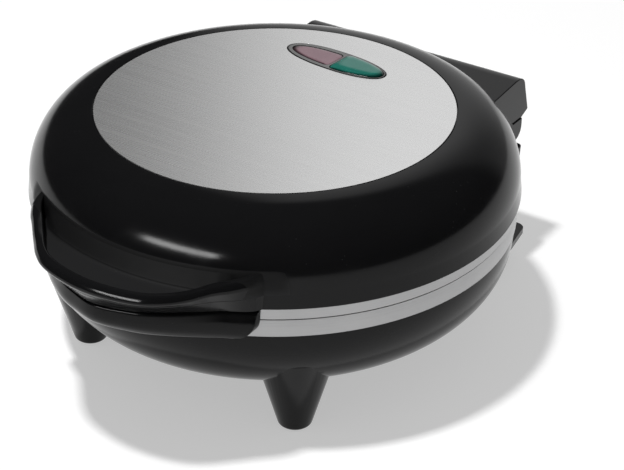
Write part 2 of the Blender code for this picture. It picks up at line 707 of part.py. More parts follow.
def rear_foot():
    """Return the flared foot under the rear block."""
    corner = (REAR_FOOT_HALF_WIDTH - REAR_FOOT_ROUND, REAR_BLOCK_REACH - REAR_FOOT_ROUND)
    widest = (REAR_FOOT_HALF_WIDTH + REAR_FOOT_SPREAD, REAR_BLOCK_REACH - REAR_FOOT_LENGTH)
    narrow = REAR_BLOCK_HALF_WIDTH - REAR_BLOCK_SIDE_DRAFT
    right = [(narrow, REAR_BLOCK_FRONT_REACH), widest]
    right += arc(corner, (REAR_FOOT_ROUND, REAR_FOOT_ROUND), 0.0, math.pi / 2, CORNER_STEPS)
    outline = right + [(-x, y) for x, y in reversed(right)]
    return prism(outline, REAR_FOOT_Z, REAR_FLOOR_Z)


def leg():
    """Return one tapered leg on its own axis, its sole at the bottom."""
    low = PAD_PROUD
    top = BASE_RIM_Z - LEG_TOP_DROP
    slope = math.tan(LEG_TAPER)
    sole = arc(
        (LEG_SOLE_RADIUS - LEG_SOLE_ROUND, low + LEG_SOLE_ROUND),
        (LEG_SOLE_ROUND, LEG_SOLE_ROUND), -math.pi / 2, -LEG_TAPER, CORNER_STEPS,
    )
    crown_z = top - LEG_CROWN_HEIGHT
    widest = LEG_SOLE_RADIUS + slope * (crown_z - low)
    crown = [(widest, crown_z), (widest - LEG_CROWN_INSET, top), (0.0, top)]
    return turned([(0.0, low)] + sole + crown, ROUND_SIDES)


def span(side, near, far):
    """Return the low and the high x of a stretch on one side."""
    return sorted((side * near, side * far))


def hinge_bar(radius, low_x, high_x):
    """Return a round bar on the hinge axis."""
    return prism(circle(radius, ROUND_SIDES, (HINGE_REACH, HINGE_Z)), low_x, high_x, "X")


def hinge_lug(low_x, high_x):
    """Return one lug of the base that holds a hinge pin."""
    root_z = BASE_RIM_Z - EAR_RADIUS
    side_view = circle(EAR_RADIUS, ROUND_SIDES, (HINGE_REACH, HINGE_Z))
    side_view += [(REAR_BLOCK_REACH - 2 * EAR_RADIUS, root_z), (REAR_BLOCK_REACH - EAR_RADIUS, root_z)]
    points = []
    for x in (low_x, high_x):
        points += [(x, y, z) for y, z in side_view]
    return hull(points)


def block_outline():
    """Return the side view of the lid's hinge block as (y, z) points."""
    bottom = BASE_RIM_Z + BLOCK_BOTTOM_RISE
    top = BASE_RIM_Z + BLOCK_TOP_RISE
    edge = (BLOCK_REAR_REACH - BLOCK_EDGE_SETBACK, top - BLOCK_EDGE_FALL)
    crown = (BLOCK_REAR_REACH - BLOCK_TOP_SETBACK, top)
    bend = (edge[0] - BLOCK_TOP_FALL / 2, top)
    outline = [(BLOCK_ROOT_REACH, bottom), (BLOCK_REAR_REACH - BLOCK_HEEL_SETBACK, bottom)]
    outline.append((BLOCK_REAR_REACH, bottom + BLOCK_HEEL_RISE))
    outline += bent(edge, bend, crown)
    fall = BLOCK_TOP_FALL * (crown[0] - BLOCK_ROOT_REACH) / (crown[0] - BLOCK_SHOULDER_REACH)
    outline.append((BLOCK_ROOT_REACH, top - fall))
    return outline


def ear_outline():
    """Return the side view of one hinge ear of the lid as (y, z) points."""
    bottom = BASE_RIM_Z + BLOCK_BOTTOM_RISE + EAR_STEP
    shoulder_z = BASE_RIM_Z + BLOCK_TOP_RISE - BLOCK_TOP_FALL - EAR_STEP
    root = BLOCK_ROOT_REACH + EAR_STEP
    around = arc((HINGE_REACH, HINGE_Z), (EAR_RADIUS, EAR_RADIUS), 0.0, -math.pi, ROUND_SIDES // 2)
    return around + [
        (HINGE_REACH - EAR_RADIUS, bottom),
        (root, bottom),
        (root, shoulder_z),
        (BLOCK_SHOULDER_REACH, shoulder_z),
        (BLOCK_EDGE_REACH, bottom),
        (HINGE_REACH + EAR_RADIUS, bottom),
    ]


def level(side, distance):
    """Return the height at a distance from the cooking face of the upper or lower plate."""
    return LOWER_PLATE_TOP_Z - distance if side == "lower" else UPPER_PLATE_FACE_Z + distance


def levels(side, near, far):
    """Return the low and the high height of a stretch behind a cooking face."""
    return sorted((level(side, near), level(side, far)))


def back_distance(side):
    """Return how far a plate's back lies behind its cooking face."""
    return PLATE_WALL + (LOWER_POCKET_DEPTH if side == "lower" else UPPER_POCKET_DEPTH)


def ridge_distance(side):
    """Return how far the top of the ridge round an element lies behind the cooking face."""
    return back_distance(side) + ELEMENT_RIDGE_HEIGHT


def post_distance(side):
    """Return how far the ends of a shell's screw posts lie behind the cooking face."""
    return ridge_distance(side) + REFLECTOR_THICKNESS + 2 * SEAT_GAP


def seat_distance(side):
    """Return how far the seats of the plate screws' heads lie behind the cooking face."""
    return post_distance(side) + SCREW_SEAT_THICKNESS


def base_shell(finish_material, carrier):
    """Make the bowl with its legs, grip half, rear block and hinge lugs."""
    shell = piece("base_shell", turned(bowl_profile(0.0, BASE_RIM_Z), BODY_SIDES), finish_material, carrier)
    join(shell, "rear_block", rear_block())
    join(shell, "rear_foot", rear_foot())
    grip = join(shell, "grip", lower_grip())
    pocket_inner = PLATE_RIM_RADIUS + BAND_CLEARANCE + GRIP_WALL
    pocket_floor = BASE_RIM_Z + LOWER_GRIP_POCKET_FLOOR
    pocket_mouth = LID_RIM_Z + OVERRUN
    hollow = grip_pocket(pocket_inner, pocket_mouth, pocket_floor)
    cut(grip, "pocket", hollow)
    cut(grip, "left_corner", lower_grip_corner(-1))
    cut(grip, "right_corner", lower_grip_corner(1))
    for name, (x, y) in leg_places():
        join(shell, f"leg_{name}", leg(), (x, y, 0.0))
    cut(shell, "cavity", turned(bowl_profile(BASE_WALL, BASE_RIM_Z + OVERRUN), BODY_SIDES))
    inside = REAR_BLOCK_HALF_WIDTH - REAR_BLOCK_SIDE_DRAFT - BASE_WALL
    cut(shell, "rear_cavity", box(
        (-inside, REAR_BLOCK_FRONT_REACH + BASE_WALL, REAR_FLOOR_Z),
        (inside, REAR_BLOCK_REACH - BASE_WALL, BASE_RIM_Z - BASE_WALL),
    ))
    post_z = level("lower", post_distance("lower"))
    seat_z = level("lower", seat_distance("lower"))
    for number, (x, y) in enumerate(fastener_places(), 1):
        post = prism(circle(POST_RADIUS, ROUND_SIDES), BOWL_FLOOR_Z + BASE_WALL / 2, post_z)
        join(shell, f"post_{number}", post, (x, y, 0.0))
        cut(shell, f"well_{number}", prism(circle(WELL_RADIUS, ROUND_SIDES), 0.0, seat_z), (x, y, 0.0))
        hole = circle(SCREW_SHANK_RADIUS + SHANK_CLEARANCE, SMALL_SIDES)
        cut(shell, f"hole_{number}", prism(hole, seat_z - OVERRUN, post_z + OVERRUN), (x, y, 0.0))
    for name, side in (("left", -1), ("right", 1)):
        notch = span(side, LUG_OUTER_X, EAR_OUTER_X + HINGE_SIDE_GAP)
        cut(shell, f"{name}_notch", hinge_bar(EAR_RADIUS + EAR_NOTCH_GAP, *notch))
        join(shell, f"{name}_lug", hinge_lug(*span(side, LUG_INNER_X, LUG_OUTER_X)))
        hole = span(side, LUG_INNER_X - OVERRUN, EAR_INNER_X + OVERRUN)
        cut(shell, f"{name}_pin_hole", hinge_bar(PIN_RADIUS + SEAT_GAP, *hole))
    seat = prism(circle(PAD_RADIUS + SEAT_GAP, ROUND_SIDES), -OVERRUN, PAD_THICKNESS + SEAT_GAP)
    for name, (x, y) in leg_places():
        cut(shell, f"pad_seat_{name}", seat, (x, y, 0.0))
    hole = circle(INLET_NECK_RADIUS + SEAT_GAP, ROUND_SIDES, (0.0, BASE_RIM_Z - INLET_DROP))
    cut(shell, "inlet_hole", prism(hole, REAR_BLOCK_REACH - 2 * BASE_WALL, REAR_BLOCK_REACH + OVERRUN, "Y"))


def lid_shell(finish_material, carrier):
    """Make the dome with its grip half, hinge block and ears."""
    shell = piece("lid_shell", turned(dome_profile(), BODY_SIDES), finish_material, carrier)
    join(shell, "grip", upper_grip())
    far = 2 * GRIP_REACH
    cut(shell, "rim_plane", box((-far, -far, BASE_RIM_Z), (far, far, LID_RIM_Z)))
    join(shell, "block", prism(block_outline(), -BLOCK_HALF_WIDTH, BLOCK_HALF_WIDTH, "X"))
    for name, side in (("left", -1), ("right", 1)):
        recess = span(side, LUG_INNER_X - HINGE_SIDE_GAP, EAR_INNER_X + EAR_STEP)
        cut(shell, f"{name}_lug_pocket", hinge_bar(EAR_RADIUS + LUG_POCKET_GAP, *recess))
        join(shell, f"{name}_ear", prism(ear_outline(), *span(side, EAR_INNER_X, EAR_OUTER_X), "X"))
    cut(shell, "cavity", turned(dome_cavity_profile(), BODY_SIDES))
    for name, side in (("left", -1), ("right", 1)):
        hole = span(side, EAR_INNER_X - OVERRUN, EAR_INNER_X + PIN_BLIND_DEPTH)
        cut(shell, f"{name}_pin_hole", hinge_bar(PIN_RADIUS + SEAT_GAP, *hole))
    cut(shell, "disc_seat", prism(
        circle(DISC_RADIUS + DISC_SIDE_GAP, BODY_SIDES), DISC_SEAT_Z, LID_TOP_Z + OVERRUN))
    post_z = level("upper", post_distance("upper"))
    seat_z = level("upper", seat_distance("upper"))
    for number, (x, y) in enumerate(fastener_places(), 1):
        post = prism(circle(POST_RADIUS, ROUND_SIDES), post_z, LID_CEILING_Z + LID_WALL / 2)
        join(shell, f"post_{number}", post, (x, y, 0.0))
        well = prism(circle(WELL_RADIUS, ROUND_SIDES), seat_z, LID_TOP_Z)
        cut(shell, f"well_{number}", well, (x, y, 0.0))
        hole = circle(SCREW_SHANK_RADIUS + SHANK_CLEARANCE, SMALL_SIDES)
        cut(shell, f"hole_{number}", prism(hole, post_z - OVERRUN, seat_z + OVERRUN), (x, y, 0.0))
    window = prism(eye_outline(-SEAT_GAP), LID_CEILING_Z - OVERRUN, LID_TOP_Z)
    cut(shell, "window_hole", window, WINDOW_PLACE, WINDOW_ROTATION)
    for name, x in (("left", -HOLDER_SCREW_REACH), ("right", HOLDER_SCREW_REACH)):
        hole = circle(HOLDER_SCREW_RADIUS + SEAT_GAP, SMALL_SIDES, (x, 0.0))
        high = LID_CEILING_Z + HOLDER_SCREW_BITE + SEAT_GAP
        pilot = prism(hole, LID_CEILING_Z - OVERRUN, high)
        cut(shell, f"{name}_holder_pilot", pilot, WINDOW_PLACE, WINDOW_ROTATION)


def half_moon(inset, side):
    """Return the outline of one pocket, drawn in all round by an inset."""
    outer = POCKET_RADIUS - inset
    straight = POCKET_DIVIDER / 2 + inset
    corner = POCKET_CORNER_ROUND
    across = straight + corner
    along = math.sqrt((outer - corner) ** 2 - across**2)
    turn = math.atan2(along, across)
    points = arc((0.0, 0.0), (outer, outer), -turn, turn, POCKET_ARC_STEPS)
    points += arc((across, along), (corner, corner), turn, math.pi, CORNER_STEPS)[1:]
    points += arc((across, -along), (corner, corner), math.pi, math.tau - turn, CORNER_STEPS)[:-1]
    return [(side * x, y) for x, y in points]


def pocket(plate_side, side, depth):
    """Return the hollow of one half-moon pocket."""
    slope = POCKET_DRAFT / depth
    stations = [(-OVERRUN, -slope * OVERRUN)]
    for step in range(CORNER_STEPS + 1):
        turn = math.pi / 2 * step / CORNER_STEPS
        distance = depth - POCKET_FLOOR_ROUND * (1 - math.sin(turn))
        inset = slope * (depth - POCKET_FLOOR_ROUND) + POCKET_FLOOR_ROUND * (1 - math.cos(turn))
        stations.append((distance, inset))
    return loft([
        [(x, y, level(plate_side, distance)) for x, y in half_moon(inset, side)]
        for distance, inset in stations
    ])


def rim_profile(side):
    """Return the edge of a plate, from its cooking face to the step behind its rim."""
    if side == "lower":
        behind = LOWER_RIM_HEIGHT - SEAT_GAP
        edge = [
            (PLATE_RIM_RADIUS - LOWER_RIM_CHAMFER_DEPTH, 0.0),
            (PLATE_RIM_RADIUS, LOWER_RIM_CHAMFER_HEIGHT),
        ]
    else:
        behind = LID_RIM_Z - UPPER_PLATE_FACE_Z - SEAT_GAP
        centre = (PLATE_RIM_RADIUS - PLATE_RIM_ROUND, PLATE_RIM_ROUND)
        edge = arc(centre, (PLATE_RIM_ROUND, PLATE_RIM_ROUND), -math.pi / 2, 0.0, CORNER_STEPS)
    return edge + [(PLATE_RIM_RADIUS, behind), (PLATE_BODY_TOP_RADIUS, behind)]


def ridge_profile(back, ridge):
    """Return the ridge on a plate's back, with the groove that the element lies in."""
    groove = ELEMENT_TUBE_RADIUS + 2 * SEAT_GAP
    half = groove + ELEMENT_RIDGE_WALL
    outer = [(ELEMENT_RADIUS + half, back), (ELEMENT_RADIUS + half, ridge)]
    inner = [(ELEMENT_RADIUS - half, ridge), (ELEMENT_RADIUS - half, back)]
    bed = arc((ELEMENT_RADIUS, ridge), (groove, groove), 0.0, -math.pi, 2 * CORNER_STEPS)
    return outer + bed + inner


def plate(name, side, depth, finish_material, carrier):
    """Make one cooking plate with its two pockets, element ridge and screw bosses."""
    back = back_distance(side)
    ridge = ridge_distance(side)
    profile = [(0.0, 0.0)] + rim_profile(side) + [(PLATE_BODY_RADIUS, back)]
    profile += ridge_profile(back, ridge) + [(0.0, back)]
    mesh = turned([(radius, level(side, distance)) for radius, distance in profile], BODY_SIDES)
    made = piece(name, mesh, finish_material, carrier)
    for number, (x, y) in enumerate(fastener_places(), 1):
        boss = prism(circle(BOSS_RADIUS, ROUND_SIDES), *levels(side, back - PLATE_WALL / 3, ridge))
        join(made, f"boss_{number}", boss, (x, y, 0.0))
        hole = circle(SCREW_SHANK_RADIUS + SEAT_GAP, SMALL_SIDES)
        pilot = prism(hole, *levels(side, ridge - SCREW_BITE - SEAT_GAP, ridge + OVERRUN))
        cut(made, f"pilot_{number}", pilot, (x, y, 0.0))
    for pocket_name, across in (("left_pocket", -1), ("right_pocket", 1)):
        cut(made, pocket_name, pocket(side, across, depth))
    return made


def element_bend_point(toward, run):
    """Return the plan place of the right-hand end bend, a run beyond the end of the ring."""
    across, along = math.sin(ELEMENT_OPEN_ANGLE), math.cos(ELEMENT_OPEN_ANGLE)
    return ELEMENT_RADIUS * across - run * along, toward * (ELEMENT_RADIUS * along + run * across)


def element_tail(toward):
    """Return where the right-hand end of an element turns away from its plate."""
    return element_bend_point(toward, ELEMENT_BEND_RADIUS)


def tail_distance(side):
    """Return how far the ends of an element reach behind the cooking face."""
    return ridge_distance(side) + ELEMENT_BEND_RADIUS + ELEMENT_TAIL_LENGTH


def tube(name, points, radius, finish_material, carrier):
    """Make a round tube along a line of points."""
    path = bpy.data.curves.new(name, "CURVE")
    path.dimensions = "3D"
    path.bevel_depth = radius
    path.bevel_resolution = TUBE_BEVEL_STEPS
    path.use_fill_caps = True
    line = path.splines.new("POLY")
    line.points.add(len(points) - 1)
    for target, point in zip(line.points, points):
        target.co = (*point, 1.0)
    return piece(name, path, finish_material, carrier)


def element(name, side, toward, finish_material, carrier):
    """Make one horseshoe heating element, open towards the rear (1) or the front (-1)."""
    away = -1 if side == "lower" else 1
    ring_z = level(side, ridge_distance(side))
    points = [(*element_tail(toward), level(side, tail_distance(side)))]
    for step in range(CORNER_STEPS + 1):
        turn = math.pi / 2 * (1 - step / CORNER_STEPS)
        fall = ELEMENT_BEND_RADIUS * (1 - math.cos(turn))
        place = element_bend_point(toward, ELEMENT_BEND_RADIUS * math.sin(turn))
        points.append((*place, ring_z + away * fall))
    bend = list(points)
    for step in range(1, ELEMENT_STEPS):
        turn = ELEMENT_OPEN_ANGLE + (math.tau - 2 * ELEMENT_OPEN_ANGLE) * step / ELEMENT_STEPS
        points.append((ELEMENT_RADIUS * math.sin(turn), toward * ELEMENT_RADIUS * math.cos(turn), ring_z))
    points += [(-x, y, z) for x, y, z in reversed(bend)]
    tube(name, points, ELEMENT_TUBE_RADIUS, finish_material, carrier)


def reflector(name, side, toward, finish_material, carrier):
    """Make one dished heat reflector, clamped between the plate's bosses and the shell's posts."""
    flange = ridge_distance(side) + SEAT_GAP
    dish = ridge_distance(side) + ELEMENT_TUBE_RADIUS + REFLECTOR_CLEARANCE
    slope_radius = REFLECTOR_DISH_RADIUS + REFLECTOR_DISH_SLOPE
    near = [(0.0, dish), (REFLECTOR_DISH_RADIUS, dish), (slope_radius, flange), (REFLECTOR_RADIUS, flange)]
    far = [(radius, distance + REFLECTOR_THICKNESS) for radius, distance in reversed(near)]
    mesh = turned([(radius, level(side, distance)) for radius, distance in near + far], BODY_SIDES)
    made = piece(name, mesh, finish_material, carrier)
    low, high = levels(side, flange - OVERRUN, dish + REFLECTOR_THICKNESS + OVERRUN)
    for number, (x, y) in enumerate(fastener_places(), 1):
        hole = prism(circle(SCREW_SHANK_RADIUS + SHANK_CLEARANCE, SMALL_SIDES), low, high)
        cut(made, f"hole_{number}", hole, (x, y, 0.0))
    tail_x, tail_y = element_tail(toward)
    tail_hole = prism(circle(ELEMENT_TUBE_RADIUS + TAIL_HOLE_GAP, ROUND_SIDES), low, high)
    cut(made, "right_tail_hole", tail_hole, (tail_x, tail_y, 0.0))
    cut(made, "left_tail_hole", tail_hole, (-tail_x, tail_y, 0.0))
    if side == "lower":
        cut(made, "thermostat_hole", prism(circle(REFLECTOR_HOLE_RADIUS, ROUND_SIDES), low, high))


def screw_mesh(shank_radius, shank_length, head_radius, head_height):
    """Return a pan-head screw that points up, the underside of its head at zero."""
    return turned([
        (0.0, -head_height),
        (head_radius * SCREW_HEAD_TOP_SHARE, -head_height),
        (head_radius, -head_height * SCREW_HEAD_SIDE_SHARE),
        (head_radius, 0.0),
        (shank_radius, 0.0),
        (shank_radius, shank_length - shank_radius),
        (0.0, shank_length),
    ], SMALL_SIDES)


def plate_screws(side, finish_material, carrier):
    """Make the four screws that hold one plate to its shell."""
    grip_length = seat_distance(side) - ridge_distance(side) + SEAT_GAP
    mesh = screw_mesh(SCREW_SHANK_RADIUS, grip_length + SCREW_BITE, SCREW_HEAD_RADIUS, SCREW_HEAD_HEIGHT)
    z = level(side, seat_distance(side) + SEAT_GAP)
    turn = NO_TURN if side == "lower" else (math.pi, 0.0, 0.0)
    for number, (x, y) in enumerate(fastener_places(), 1):
        piece(f"{side}_plate_screw_{number}", mesh, finish_material, carrier, (x, y, z), turn)


def hinge_pins(finish_material, carrier):
    """Make the two headed hinge pins."""
    length = EAR_INNER_X + PIN_BLIND_DEPTH - LUG_INNER_X
    mesh = screw_mesh(PIN_RADIUS, length, PIN_HEAD_RADIUS, PIN_HEAD_LENGTH)
    for name, side in (("left", -1), ("right", 1)):
        place = (side * (LUG_INNER_X - SEAT_GAP), HINGE_REACH, HINGE_Z)
        piece(f"hinge_pin_{name}", mesh, finish_material, carrier, place, (0.0, side * math.pi / 2, 0.0))


def foot_pads(finish_material, carrier):
    """Make the four rubber pads in the soles of the legs."""
    mesh = prism(circle(PAD_RADIUS, ROUND_SIDES), 0.0, PAD_THICKNESS)
    for name, (x, y) in leg_places():
        piece(f"foot_pad_{name}", mesh, finish_material, carrier, (x, y, 0.0))


def thermostat(body_material, screw_material, carrier):
    """Make the disc thermostat and the two screws that hold it to the lower plate's back."""
    near = back_distance("lower") + SEAT_GAP
    flange_end = near + THERMOSTAT_FLANGE_THICKNESS
    body_end = near + THERMOSTAT_HEIGHT
    half_x, half_y = THERMOSTAT_FLANGE_WIDTH / 2, THERMOSTAT_FLANGE_LENGTH / 2
    low, high = levels("lower", near, flange_end)
    made = piece("thermostat", box((-half_x, -half_y, low), (half_x, half_y, high)), body_material, carrier)
    body_low = level("lower", body_end)
    join(made, "body", prism(circle(THERMOSTAT_RADIUS, ROUND_SIDES), body_low, (low + high) / 2))
    for name, side in (("left", -1), ("right", 1)):
        tab = box(
            (side * TAB_REACH - TAB_THICKNESS / 2, -TAB_WIDTH / 2, body_low - TAB_LENGTH),
            (side * TAB_REACH + TAB_THICKNESS / 2, TAB_WIDTH / 2, body_low + TAB_THICKNESS),
        )
        join(made, f"{name}_tab", tab)
    mesh = screw_mesh(
        THERMOSTAT_SCREW_RADIUS, THERMOSTAT_FLANGE_THICKNESS + 2 * SEAT_GAP + THERMOSTAT_SCREW_BITE,
        THERMOSTAT_SCREW_HEAD_RADIUS, THERMOSTAT_SCREW_HEAD_HEIGHT,
    )
    hole = circle(THERMOSTAT_SCREW_RADIUS + SEAT_GAP, SMALL_SIDES)
    for number, side in enumerate((-1, 1), 1):
        place = (0.0, side * THERMOSTAT_SCREW_REACH, 0.0)
        cut(made, f"hole_{number}", prism(hole, low - OVERRUN, high + OVERRUN), place)
        screw_place = (0.0, place[1], low - SEAT_GAP)
        piece(f"thermostat_screw_{number}", mesh, screw_material, carrier, screw_place)


def thermostat_pilots(lower_plate):
    """Cut the two small pilot holes for the thermostat's screws."""
    back = back_distance("lower")
    hole = circle(THERMOSTAT_SCREW_RADIUS + SEAT_GAP, SMALL_SIDES)
    pilot = prism(hole, *levels("lower", back - THERMOSTAT_SCREW_BITE - 2 * SEAT_GAP, back + OVERRUN))
    for number, side in enumerate((-1, 1), 1):
        cut(lower_plate, f"thermostat_pilot_{number}", pilot, (0.0, side * THERMOSTAT_SCREW_REACH, 0.0))


def terminal_places():
    """Return the plan places of the two ways of the terminal block."""
    return [(TERMINAL_X + side * TERMINAL_WAY_PITCH / 2, TERMINAL_Y) for side in (-1, 1)]


def terminal_block(body_material, screw_material, carrier):
    """Make the two-way terminal block on the floor of the rear block, with its clamp screws."""
    low = REAR_FLOOR_Z + SEAT_GAP
    high = low + TERMINAL_HEIGHT
    corner = (TERMINAL_X - TERMINAL_LENGTH / 2, TERMINAL_Y - TERMINAL_DEPTH / 2, low)
    far = (TERMINAL_X + TERMINAL_LENGTH / 2, TERMINAL_Y + TERMINAL_DEPTH / 2, high)
    made = piece("terminal_block", box(corner, far), body_material, carrier)
    edge = made.modifiers.new("edges", "BEVEL")
    edge.width = TERMINAL_EDGE_ROUND
    edge.segments = 1
    mesh = screw_mesh(
        TERMINAL_SCREW_RADIUS, TERMINAL_SCREW_BITE, TERMINAL_SCREW_HEAD_RADIUS, TERMINAL_SCREW_HEAD_HEIGHT)
    hole = circle(TERMINAL_SCREW_RADIUS + SEAT_GAP, SMALL_SIDES)
    for number, (x, y) in enumerate(terminal_places(), 1):
        cut(made, f"hole_{number}", prism(hole, high - TERMINAL_SCREW_BITE, high + OVERRUN), (x, y, 0.0))
        place = (x, y, high + SEAT_GAP)
        piece(f"terminal_screw_{number}", mesh, screw_material, carrier, place, (math.pi, 0.0, 0.0))


def thermal_fuse(finish_material, carrier):
    """Make the thermal fuse, a small capsule held between two leads."""
    half = FUSE_LENGTH / 2
    mesh = turned([
        (0.0, -half), (LEAD_RADIUS, -half), (FUSE_RADIUS, -half + FUSE_RADIUS),
        (FUSE_RADIUS, half - FUSE_RADIUS), (LEAD_RADIUS, half), (0.0, half),
    ], SMALL_SIDES)
    place = (FUSE_X, FUSE_Y, FUSE_Z)
    piece("thermal_fuse", mesh, finish_material, carrier, place, (math.pi / 2, 0.0, 0.0))


def lead(name, start, start_pull, end, end_pull, finish_material, carrier):
    """Make a lead from one joint to another, leaving each along its pull."""
    near, near_pull = Vector(start), Vector(start_pull)
    far, far_pull = Vector(end), Vector(end_pull)
    line = [near + near_pull / 3, near + near_pull, far + far_pull, far + far_pull / 3]
    points = [near]
    for step in range(LEAD_STEPS + 1):
        t = step / LEAD_STEPS
        weights = ((1 - t) ** 3, 3 * t * (1 - t) ** 2, 3 * t * t * (1 - t), t**3)
        points.append(sum((point * weight for point, weight in zip(line, weights)), Vector()))
    tube(name, points + [far], LEAD_RADIUS, finish_material, carrier)


def base_leads(live_material, neutral_material, carrier):
    """Make the leads between the terminal block, fuse, thermostat and element."""
    tail_x, tail_y = element_tail(1)
    tail_z = level("lower", tail_distance("lower")) - SEAT_GAP
    way_z = REAR_FLOOR_Z + SEAT_GAP + TERMINAL_WAY_HEIGHT
    front_y = TERMINAL_Y - TERMINAL_DEPTH / 2 - SEAT_GAP
    (neutral_x, _), (live_x, _) = terminal_places()
    fuse_ends = [FUSE_Y + side * (FUSE_LENGTH / 2 + SEAT_GAP) for side in (-1, 1)]
    tab_z = level("lower", back_distance("lower") + SEAT_GAP + THERMOSTAT_HEIGHT) - TAB_LENGTH - SEAT_GAP
    down = (0.0, 0.0, -LEAD_END_REACH)
    ahead = (0.0, -LEAD_RUN_REACH, 0.0)
    behind = (0.0, LEAD_END_REACH, 0.0)
    lead("supply_lead_neutral", (neutral_x, front_y, way_z), ahead,
         (tail_x, tail_y, tail_z), down, neutral_material, carrier)
    lead("supply_lead_live", (live_x, front_y, way_z), ahead,
         (FUSE_X, fuse_ends[1], FUSE_Z), behind, live_material, carrier)
    lead("fuse_lead", (FUSE_X, fuse_ends[0], FUSE_Z), ahead,
         (TAB_REACH, 0.0, tab_z), down, live_material, carrier)
    lead("thermostat_lead", (-TAB_REACH, 0.0, tab_z), down,
         (-tail_x, tail_y, tail_z), down, live_material, carrier)


def cord_inlet(finish_material, carrier):
    """Make the bush that lines the cord hole in the rear wall, a flange on each side of the wall."""
    inner = -BASE_WALL - SEAT_GAP
    mesh = turned([
        (INLET_BORE_RADIUS, inner - INLET_FLANGE_THICKNESS),
        (INLET_FLANGE_RADIUS, inner - INLET_FLANGE_THICKNESS),
        (INLET_FLANGE_RADIUS, inner),
        (INLET_NECK_RADIUS, inner),
        (INLET_NECK_RADIUS, SEAT_GAP),
        (INLET_FLANGE_RADIUS, SEAT_GAP),
        (INLET_NOSE_RADIUS, INLET_NOSE_LENGTH),
        (INLET_BORE_RADIUS, INLET_NOSE_LENGTH),
    ], ROUND_SIDES)
    place = (0.0, REAR_BLOCK_REACH, BASE_RIM_Z - INLET_DROP)
    piece("cord_inlet", mesh, finish_material, carrier, place, (-math.pi / 2, 0.0, 0.0))


def eye_points(inset, low):
    """Return the upper edge of the window, drawn in by an inset, from a low x to its right end."""
    length = WINDOW_HALF_LENGTH - inset
    width = WINDOW_HALF_WIDTH - inset
    edge = []
    for step in range(EYE_STEPS + 1):
        x = low + (length - low) * (1 - math.cos(math.pi * step / EYE_STEPS)) / 2
        fall = min(abs(x / length), 1.0) ** WINDOW_POWER
        edge.append((x, width * (1 - fall) ** (1 / WINDOW_POWER)))
    return edge


def eye_outline(inset):
    """Return the window's outline, drawn in by an inset."""
    edge = eye_points(inset, inset - WINDOW_HALF_LENGTH)
    return edge + [(x, -y) for x, y in reversed(edge)]


def lens_outline(inset, side):
    """Return the outline of the left (-1) or the right (1) lens, its inner corners rounded."""
    widest = RED_LENS_INSET if side < 0 else GREEN_LENS_INSET
    split = LENS_WEB / 2 - side * LENS_SPLIT_X + inset - widest
    edge = []
    for x, y in eye_points(inset, split):
        short = max(0.0, 1 - (x - split) / LENS_CORNER_ROUND)
        edge.append((side * x, y - LENS_CORNER_ROUND * (1 - math.sqrt(1 - short**2))))
    return edge + [(x, -y) for x, y in reversed(edge)]


def lens(name, side, inset, rise, finish_material, carrier):
    """Make one lens with a crowned top."""
    rings = [(inset, LID_CEILING_Z), (inset, LID_TOP_Z)]
    for step in range(1, CORNER_STEPS + 1):
        turn = math.pi / 2 * step / CORNER_STEPS
        rings.append((inset + LENS_DOME_WIDTH * (1 - math.cos(turn)), LID_TOP_Z + rise * math.sin(turn)))
    mesh = loft([[(x, y, z) for x, y in lens_outline(ring_inset, side)] for ring_inset, z in rings])
    piece(name, mesh, finish_material, carrier, WINDOW_PLACE, WINDOW_ROTATION)


def window(bezel_material, red_material, green_material, carrier):
    """Make the window: a bezel that fills the hole in the disc, and its two lenses."""
    plug = prism(eye_outline(0.0), LID_CEILING_Z, LID_TOP_Z + BEZEL_PROUD)
    bezel = piece("window_bezel", plug, bezel_material, carrier, WINDOW_PLACE, WINDOW_ROTATION)
    for name, side, inset in (("red", -1, RED_LENS_INSET), ("green", 1, GREEN_LENS_INSET)):
        outline = lens_outline(inset - SEAT_GAP, side)
        hole = prism(outline, LID_CEILING_Z - OVERRUN, LID_TOP_Z + OVERRUN)
        cut(bezel, f"{name}_hole", hole)
    lens("red_lens", -1, RED_LENS_INSET, RED_LENS_RISE, red_material, carrier)
    lens("green_lens", 1, GREEN_LENS_INSET, GREEN_LENS_RISE, green_material, carrier)


